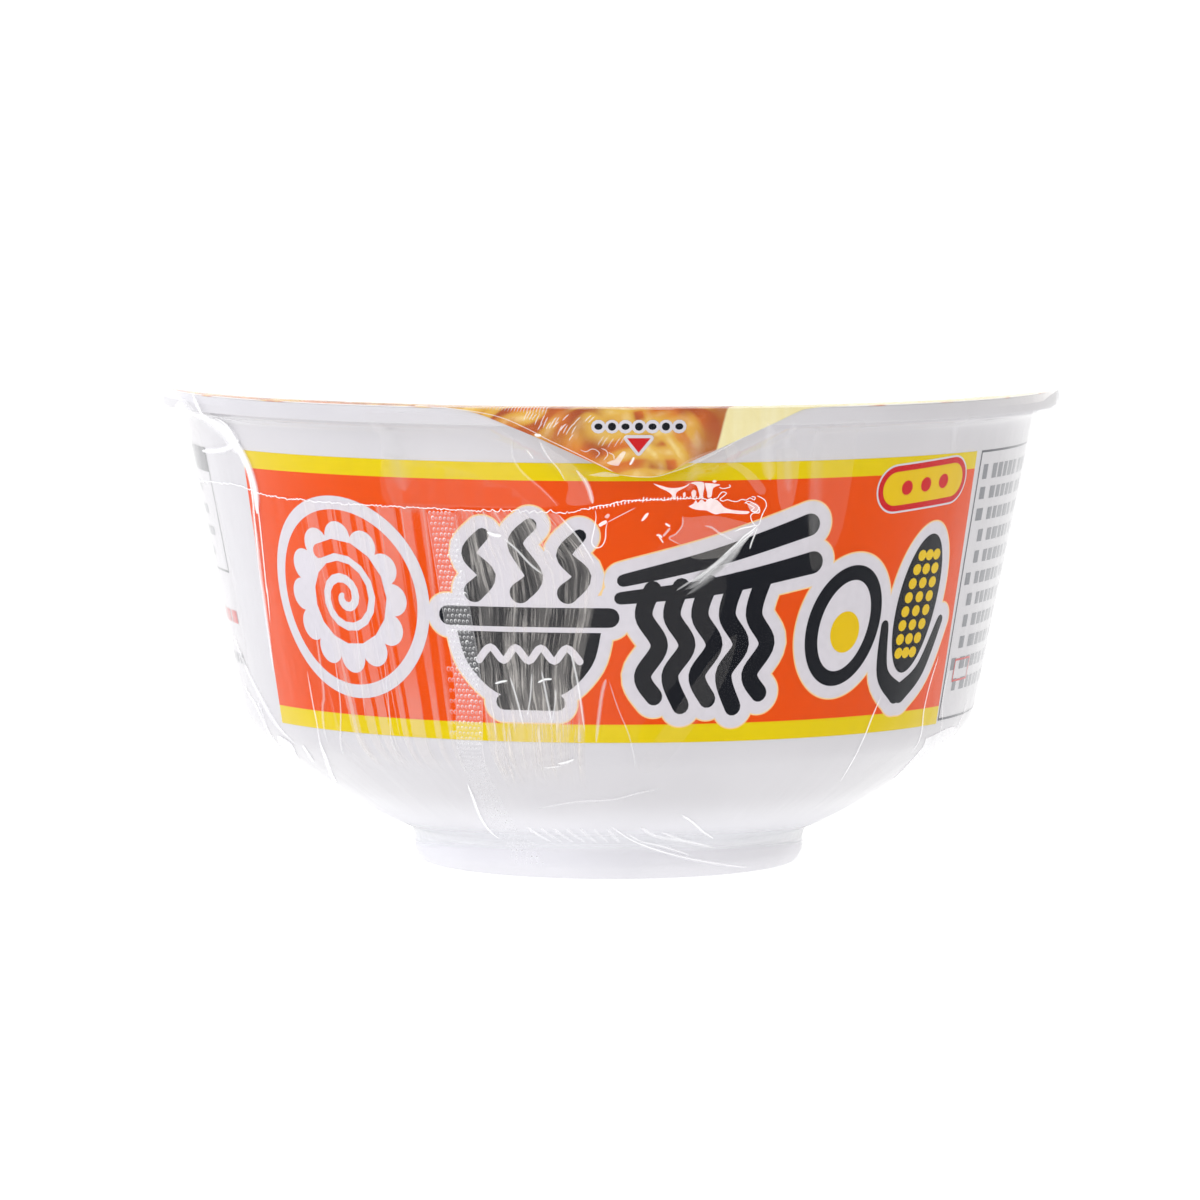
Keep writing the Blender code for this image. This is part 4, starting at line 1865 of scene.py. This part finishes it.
        (0.5, 0.95, "-8,20.7 -6.6,21 -5.4,21.5"),
        (0.35, 0.6, "-10.4,19.9 -9,20.1 -7.6,20.3"),
        (0.3, 0.4, "-14,12.6 -6,14 0.5,14.4 4.5,15.4 9,16.4"),
    )
    gleams: tuple[tuple[float, str], ...] = (
        (0.9,
            "5.3,64 6.2,63.7 7.3,63.3 8.4,63.2 9.6,63.4 10.3,63.8 10,63.4 9.3,63 8.7,62.7 8.4,62.3 "
            "8.4,61.6 8,61.6 7.8,62.2 7.1,62.8 6.2,63.3"),
        (0.9,
            "10.4,63.8 11.1,64 12.2,63.9 12.4,63.2 12.3,62.4 12.2,61.6 11.9,61.6 11.7,62.3 11.5,63 "
            "11.2,63.5"),
        (0.9,
            "12.4,63.8 13.4,63.7 14.5,63.5 13.7,63.1 13.5,62.6 13.4,61.7 12.9,61.6 12.8,62.3 12.6,63"),
        (0.85, "9.4,62.3 9.7,62.5 9.8,61.9 9.5,61.7"),
        (0.85, "10.6,62.4 10.9,62.8 11.3,62.5 11.2,61.7 10.8,61.6"),
        (0.9, "13.4,64 13.7,64.2 14,64 13.7,63.8"),
        (0.9,
            "10.3,60.3 11,60.7 11.3,61.2 11.6,60.8 12.1,61.3 12.6,60.9 13,61.4 13.9,61.3 14.5,60.9 "
            "15.2,60.1 16.1,59.7 17.3,59.5 18.7,59.35 18.5,59 17.3,59 16.1,59.15 14.9,59.15 14.2,59 "
            "13.6,59.2 12.8,59.6 11.8,59.7 11,59.9"),
        (0.5, "18.4,60.5 19.2,60.7 20,60.2 20.2,59.3 19.5,59.1 18.9,59.5"),
        (0.9, "-1.5,57.6 -1.1,58 -0.5,58.3 -0.4,57.9 -0.9,57.5 -1.3,57.3"),
        (0.5, "-0.7,58.8 -0.3,59.3 0,59.1 -0.3,58.6"),
        (0.9, "4,58.3 4.5,59.3 4.9,59.5 4.8,59 4.3,58.3"),
        (0.55, "0.6,67.6 1.5,68.8 1.9,68.6 1.3,67.3 0.9,66.7 -0.4,67.1"),
        (0.8, "-66,21.6 -63.4,21.3 -63,20.2 -68,18.2 -74,17.6"),
        (0.75, "60,21.8 68.6,22.9 75,21.4 74.7,17.8 73,13.9 66,17"),
    )

    def finish(self, name: str, board: Board, material: bpy.types.Material, lift: float) -> None:
        """Lays a drawing on the film.

        Args:
            name: The piece's name.
            board: The drawing.
            material: Its material.
            lift: How far it stands off the film, in mm.
        """
        bm = board.lay(lambda x, y: self.film.spot(x, y, lift * MM))
        finish_piece(name, bm, material, (), 80.0)

    def bead(self, bm: bmesh.types.BMesh, path: Sequence[Vector], radius: float) -> None:
        """Adds a knobbly round bead along a path on the film.

        Args:
            bm: The mesh that gets it.
            path: The path on a drawing, in mm.
            radius: The bead's mean radius, in mm.
        """
        spots = [self.film.spot(point.x, point.y, 0.06 * MM) for point in path]
        last = len(spots) - 1
        made = bmesh.ops.create_grid(bm, x_segments=last, y_segments=6, size=0.5)["verts"]
        for vert in made:
            index = round((vert.co.x + 0.5) * last)
            angle = (vert.co.y + 0.5) * 2 * math.pi
            along = (spots[min(index + 1, last)] - spots[max(index - 1, 0)]).normalized()
            outward = Vector((spots[index].x, spots[index].y, 0.0)).normalized()
            upward = outward.cross(along).normalized()
            knob = 0.7 + 0.7 * abs(wobble(index * 0.9, 0.3, 8.0)) + 0.25 * (index % 3 == 0)
            reach = radius * MM * knob * (0.05 if index in (0, last) else 1.0)
            spoke = math.cos(angle) * outward + math.sin(angle) * upward
            vert.co = spots[index] + reach * spoke
        bmesh.ops.remove_doubles(bm, verts=made, dist=0.0004 * MM)

    def build_weld(self) -> None:
        """Builds the weld, a thin white bead that runs round the bowl and curls at its end."""
        bm = bmesh.new()
        glow = bm.verts.layers.float.new("glow")
        for run in (self.weld, self.weld_behind):
            path = even(arcs(run, 12), self.weld_step)
            for index, point in enumerate(path):
                point.y += 0.3 * wobble(index * 0.83, 0.4, 9.0)
                point.y += 0.15 * wobble(index * 0.21, 0.7, 9.0)
                scallop = ease(point.x, -19.5, -17.0) * ease(point.x, -5.0, -7.0)
                point.y -= 0.42 * scallop * abs(math.sin(point.x * 2.6)) - 0.2 * scallop
            self.bead(bm, path, self.weld_bead)
        for curl in self.weld_curls:
            self.bead(bm, arcs(curl, 6), self.curl_bead)
        for vert in bm.verts:
            vert[glow] = 1.0
        bmesh.ops.recalc_face_normals(bm, faces=bm.faces)
        # The bead's white is the weld's own; its slight glow is painted light.
        finish_piece("film_weld", bm, WhiteAndPaintedHighlightFilm("weld_white", 0.9, painted_glow=0.12).build())

    def build_vents(self) -> None:
        """Builds the band of small vent holes, from the weld down to the foot, drawn as rings with
        painted highlights.
        """
        board = Board()
        middle = arcs("-23,59 -22,45.6 -21,30.3 -23,13.8 -26,5.5 -22,0.5", 60)
        level = 58.9
        row = 0
        while level > 1.6:
            near = min(middle, key=lambda point: abs(point.y - level))
            radius = self.film.radius_at(level * MM)
            wide = PRINT_RADIUS / radius
            slope = (radius - self.film.radius_at((level - 0.5) * MM)) / (0.5 * MM)
            tall = 1.0 / math.sqrt(1.0 + slope * slope)
            spread = wide * (1.0 + 0.35 * ease(level, 14.0, 4.0))
            for column in range(self.vent_columns):
                shift = (column - (self.vent_columns - 1) / 2) * self.vent_pitch
                shift += 0.16 if row % 2 else -0.16
                shift += 0.09 * wobble(row * 0.9, column * 1.7, 2.0)
                fine = wobble(row * 1.3, column * 0.9, 4.0)
                size = Vector((self.vent_size[0] * wide, self.vent_size[1] * tall))
                size *= 1.0 + 0.3 * fine
                glow = (0.3 + 0.35 * ease(level, 22.0, 27.0)) * (1.0 + 0.6 * fine)
                board.ring(near.x + shift * spread, level + 0.12 * fine, size, glow, 0.08)
            if 24.5 < level < 36.0 and row % 2:
                for shift in (-2.9, -2.3):
                    board.ring(near.x + shift * wide, level, size * 1.15, 0.35, 0.1)
            level -= self.vent_row * tall
            row += 1
        for shift in (-2.25, 2.2):
            side = [Vector((point.x + shift, point.y)) for point in middle[::3] if point.y > 18.0]
            board.crease(side, 0.3, 0.3, tip=0.05)
        veil = [Vector((point.x - 2.1, point.y)) for point in middle[::12] if point.y > 20.0]
        veil += [Vector((point.x + 2.1, point.y)) for point in middle[::-12] if point.y > 20.0]
        board.blob(veil, 0.0, 0.13)
        board.slice(1.2, 2.5)
        self.finish("film_vents", board, WhiteAndPaintedHighlightFilm("vent_highlight", 0.9, painted_glow=0.15).build(), 0.05)

    def build_pleats(self) -> None:
        """Builds the gathered film under the weld: broad lanes on the left, fine on the right."""
        zones = (
            (0.0, "-52.5,59.8 -51,40 -48,18", "-25,59.4 -23.4,18"),
            (
                1.0,
                "-21.2,59.5 -19.6,38 -18,16",
                "-7,59.2 -3.6,54.6 -1.8,50 -2.6,42 -4.2,34 -3.6,27 -4,16",
            ),
        )
        bm = bmesh.new()
        layers = {
            name: bm.verts.layers.float.new(name)
            for name in ("glow", "gathered", "across", "down")
        }
        for gathered, left, right in zones:
            left_path = arcs(left, 24)
            right_path = arcs(right, 24)
            made = bmesh.ops.create_grid(bm, x_segments=40, y_segments=44, size=0.5)["verts"]
            for vert in made:
                share = vert.co.x + 0.5
                fall = 0.5 - vert.co.y
                start = left_path[round(fall * (len(left_path) - 1))]
                end = right_path[round(fall * (len(right_path) - 1))]
                spot = start.lerp(end, share)
                fade = ease(fall, 1.0, 0.86) * ease(share, 0.0, 0.03)
                fade *= 1.0 - 0.3 * ease(fall, 0.2, 0.35) + 0.55 * ease(fall, 0.55, 0.72)
                if gathered < 0.5:
                    fade *= ease(share, 0.0, 0.25) * ease(share, 1.001, 0.97)
                vert[layers["glow"]] = fade
                vert[layers["gathered"]] = gathered
                vert[layers["across"]] = share * (left_path[0] - right_path[0]).length
                vert[layers["down"]] = fall * 40.0
                vert.co = self.film.spot(spot.x, spot.y, 0.03 * MM)
        bmesh.ops.recalc_face_normals(bm, faces=bm.faces)
        finish_piece("film_pleats", bm, PleatedFilm().build(), (), 80.0)

    def build_folds(self) -> None:
        """Builds the broad faint zones where the film lies double or stands off the print; their whitish
        tint is painted reflection.
        """
        board = Board()
        for glow, outline in self.folds:
            board.blob(closed_arcs(outline, 5), 0.0, glow)
        board.slice(1.4, 1.4)
        white = WhiteAndPaintedHighlightFilm("fold_reflection", 1.0, 0.3, (1.0, 0.96, 0.91)).build()
        self.finish("film_fold_reflections", board, white, 0.02)

    def belly_ticks(self, board: Board) -> None:
        """Draws painted highlights of short slanting creases above the foot, where the film is gathered.
        """
        for index in range(7):
            turn = -19.0 + index * 3.1
            tick = [(turn, 9.0), (turn + 1.4, 7.6), (turn + 3.4, 6.2)]
            board.crease(arcs(tick, 3), 1.1, 0.35 + 0.3 * wobble(index * 1.3, 0.6, 3.0))

    def fan(self, board: Board) -> None:
        """Draws painted highlights of a fan of faint creases that spreads from the slack film beside the
        tab's tip.
        """
        for index in range(10):
            turn = 19.9 - index * 0.25
            level = 56.6 - index * 0.3
            fall = 6.0 + 4.0 * abs(wobble(index * 1.7, 0.8, 3.0))
            middle = (turn - 3.2 + index * 0.15, level - fall * 0.4)
            ray = [(turn, level), middle, (turn - 7.2, level - fall)]
            board.crease(arcs(ray, 6), 0.5 + 0.08 * index, 0.34 - 0.02 * index)

    def weld_ticks(self, board: Board) -> None:
        """Draws fine upright ticks of painted highlight on the weld below the tab."""
        for index in range(34):
            turn = -2.6 + index * 0.45
            level = 60.1 + 1.5 * ease(turn, -3.0, 5.0)
            tall = 0.2 + 0.4 * abs(wobble(index * 1.9, 0.2, 5.0))
            lean = 0.2 * wobble(index * 2.3, 1.2, 6.0)
            tick = [(turn - lean, level - tall), (turn, level), (turn + lean, level + tall)]
            board.crease(arcs(tick, 2), 0.26, 0.9)

    def rim_ticks(self, board: Board) -> None:
        """Draws fine ticks of painted highlight along the rim on the left, and a looser row of them
        below.
        """
        count = 44
        for index in range(count):
            share = index / (count - 1)
            turn = -24.2 + 16.4 * share
            low = 75.2 - 1.0 * share * share
            tick = [(turn, low), (turn + 0.25, 75.3), (turn + 0.6, 75.5)]
            board.crease(arcs(tick, 2), 0.2, 0.5)
        for index in range(18):
            turn = -10.4 + index * 0.34
            level = 74.3 - 2.4 * abs(wobble(index * 2.1, 0.3, 7.0)) - 0.09 * index
            tall = 0.5 + 0.7 * abs(wobble(index * 1.4, 1.3, 7.0))
            tick = [(turn, level - tall), (turn + 0.25, level), (turn + 0.6, level + tall)]
            board.crease(arcs(tick, 2), 0.2, 0.6)

    def tab_ticks(self, board: Board) -> None:
        """Draws the glints on the film over the tab, the last ones taller and fainter."""
        for index, (turn, level) in enumerate(pairs(self.glints)):
            tall = 1.0 if index < self.short_glints else 1.5
            tick = [(turn, level), (turn + 0.35, level + tall / 2), (turn + 0.8, level + tall)]
            board.crease(arcs(tick, 2), 0.22, 0.6 if index < self.short_glints else 0.4)

    def build_creases(self) -> None:
        """Builds the painted highlights and sheens along the film's creases, which glow a little."""
        board = Board()
        for width, glow, points in self.creases:
            board.crease(arcs(points, 7), width, glow)
        self.belly_ticks(board)
        self.fan(board)
        self.weld_ticks(board)
        self.rim_ticks(board)
        self.tab_ticks(board)
        self.finish("film_crease_highlights", board, WhiteAndPaintedHighlightFilm("crease_highlight", painted_glow=0.18).build(), 0.06)

    def build_gleams(self) -> None:
        """Builds the patches of slack film below the tab that catch the light."""
        board = Board()
        for glow, outline in self.gleams:
            board.blob(closed_arcs(outline, 4), 0.0, glow)
        board.slice(1.2, 1.2)
        white = WhiteAndPaintedHighlightFilm("gleam_white", 0.95, 0.35, painted_glow=0.2).build()
        self.finish("film_gleams", board, white, 0.05)

    def build(self) -> None:
        """Builds every mark."""
        self.build_folds()
        self.build_pleats()
        self.build_vents()
        self.build_gleams()
        self.build_creases()
        self.build_weld()


# The studio


@dataclass
class Studio:
    """The pale floor, the soft light and the camera."""

    camera_place: Vector = field(default_factory=lambda: Vector((-1.45, -1100.0, 131.57)) * MM)
    camera_down: float = 0.0822
    camera_roll: float = 0.0016
    focal_pixels: float = 6958.5
    image_side: float = 1200.0
    front_light: float = 1.0
    back_light: float = 1.5
    left_light: float = 1.15
    right_light: float = 0.68
    top_light: float = 0.9
    cool: Colour = (0.98, 0.98, 1.02)
    warm: Colour = (1.02, 1.0, 0.96)
    softbox_place: Vector = field(default_factory=lambda: Vector((-0.9, -0.55, 0.45)))
    softbox_aim: Vector = field(default_factory=lambda: Vector((0.0, 0.0, 0.04)))
    softbox_side: float = 0.5
    softbox_power: float = 1.5
    softbox_colour: Colour = (0.96, 0.98, 1.0)
    floor_glow: float = 0.98

    def build_camera(self) -> None:
        """Places the camera where the photograph was taken from."""
        data = bpy.data.cameras.new("camera")
        data.sensor_width = 36.0
        data.lens = self.focal_pixels / self.image_side * data.sensor_width
        data.clip_start = 0.05
        camera = bpy.data.objects.new("camera", data)
        camera.matrix_world = (
            Matrix.Translation(self.camera_place)
            @ Matrix.Rotation(math.pi / 2 - self.camera_down, 4, "X")
            @ Matrix.Rotation(self.camera_roll, 4, "Z")
        )
        bpy.context.scene.collection.objects.link(camera)
        bpy.context.scene.camera = camera

    def build_floor(self) -> None:
        """Lays a plain white floor that glows a little, as a light table does."""
        bm = bmesh.new()
        bmesh.ops.create_grid(bm, x_segments=4, y_segments=4, size=40.0)
        bench = Bench("white_floor")
        mottle = bench.cloud(None, 3.0, 2.0)
        across, depth = bench.place()[:2]
        right = across - depth * 0.1
        share = 1.0 - right.step(-0.1, 0.1) * 0.06 - right.step(0.12, 0.5) * 0.25
        shader = bench.principled(
            Base_Color=(0.15, 0.15, 0.15),
            Roughness=0.7 + mottle * 0.1,
            Specular_IOR_Level=0.0,
            Emission_Color=bench.blend(share, (0.0, 0.0, 0.0), (1.0, 1.0, 1.0)),
            Emission_Strength=self.floor_glow,
        )
        mesh = bpy.data.meshes.new("floor")
        bm.to_mesh(mesh)
        bm.free()
        mesh.materials.append(bench.surface(shader))
        floor = bpy.data.objects.new("floor", mesh)
        bpy.context.scene.collection.objects.link(floor)

    def build_softbox(self) -> None:
        """Adds a square soft light on the left that looks at the bowl."""
        data = bpy.data.lights.new("left_softbox", "AREA")
        data.shape = "SQUARE"
        data.size = self.softbox_side
        data.energy = self.softbox_power
        data.color = self.softbox_colour
        light = bpy.data.objects.new("left_softbox", data)
        aim = (self.softbox_aim - self.softbox_place).to_track_quat("-Z", "Y")
        light.rotation_euler = aim.to_euler()
        light.location = self.softbox_place
        bpy.context.scene.collection.objects.link(light)

    def build_light(self) -> None:
        """Sets a soft surround, brightest behind the bowl and warmer on its right."""
        world = bpy.data.worlds.new("surround")
        world.use_nodes = True
        bench = Bench("surround", world.node_tree)
        ray = bench.node("ShaderNodeTexCoord").outputs["Generated"]
        parts = bench.node("ShaderNodeSeparateXYZ", inputs={0: ray}).outputs
        right, back, up = (Channel(bench, part) for part in parts)
        strength = (
            self.front_light
            + back.step(0.0, 0.9) * (self.back_light - self.front_light)
            + right.step(-0.3, -1.0) * (self.left_light - self.front_light)
            + right.step(0.3, 1.0) * (self.right_light - self.front_light)
            + up.step(0.5, 1.0) * (self.top_light - self.front_light)
        )
        tint = bench.blend(right.step(-0.6, 0.8), self.cool, self.warm)
        light = bench.node("ShaderNodeBackground", inputs={"Color": tint, "Strength": strength})
        bench.node("ShaderNodeOutputWorld", inputs={"Surface": light.outputs[0]})
        bpy.context.scene.world = world

    def build(self) -> None:
        """Builds the whole studio."""
        self.build_camera()
        self.build_floor()
        self.build_light()
        self.build_softbox()
        bpy.context.scene.view_settings.view_transform = "Standard"


def main() -> None:
    """Builds every piece in order and reports each one."""
    logging.basicConfig(level=logging.INFO, format="%(name)s: %(message)s")
    Studio().build()
    bowl = MouldedBowl()
    bowl.build()
    WallPrint(bowl).build()
    lid = PaperLid()
    lid.build()
    film = ShrinkFilm(bowl, lid)
    film.build()
    FilmMarks(film).build()


if __name__ == "__main__":
    main()
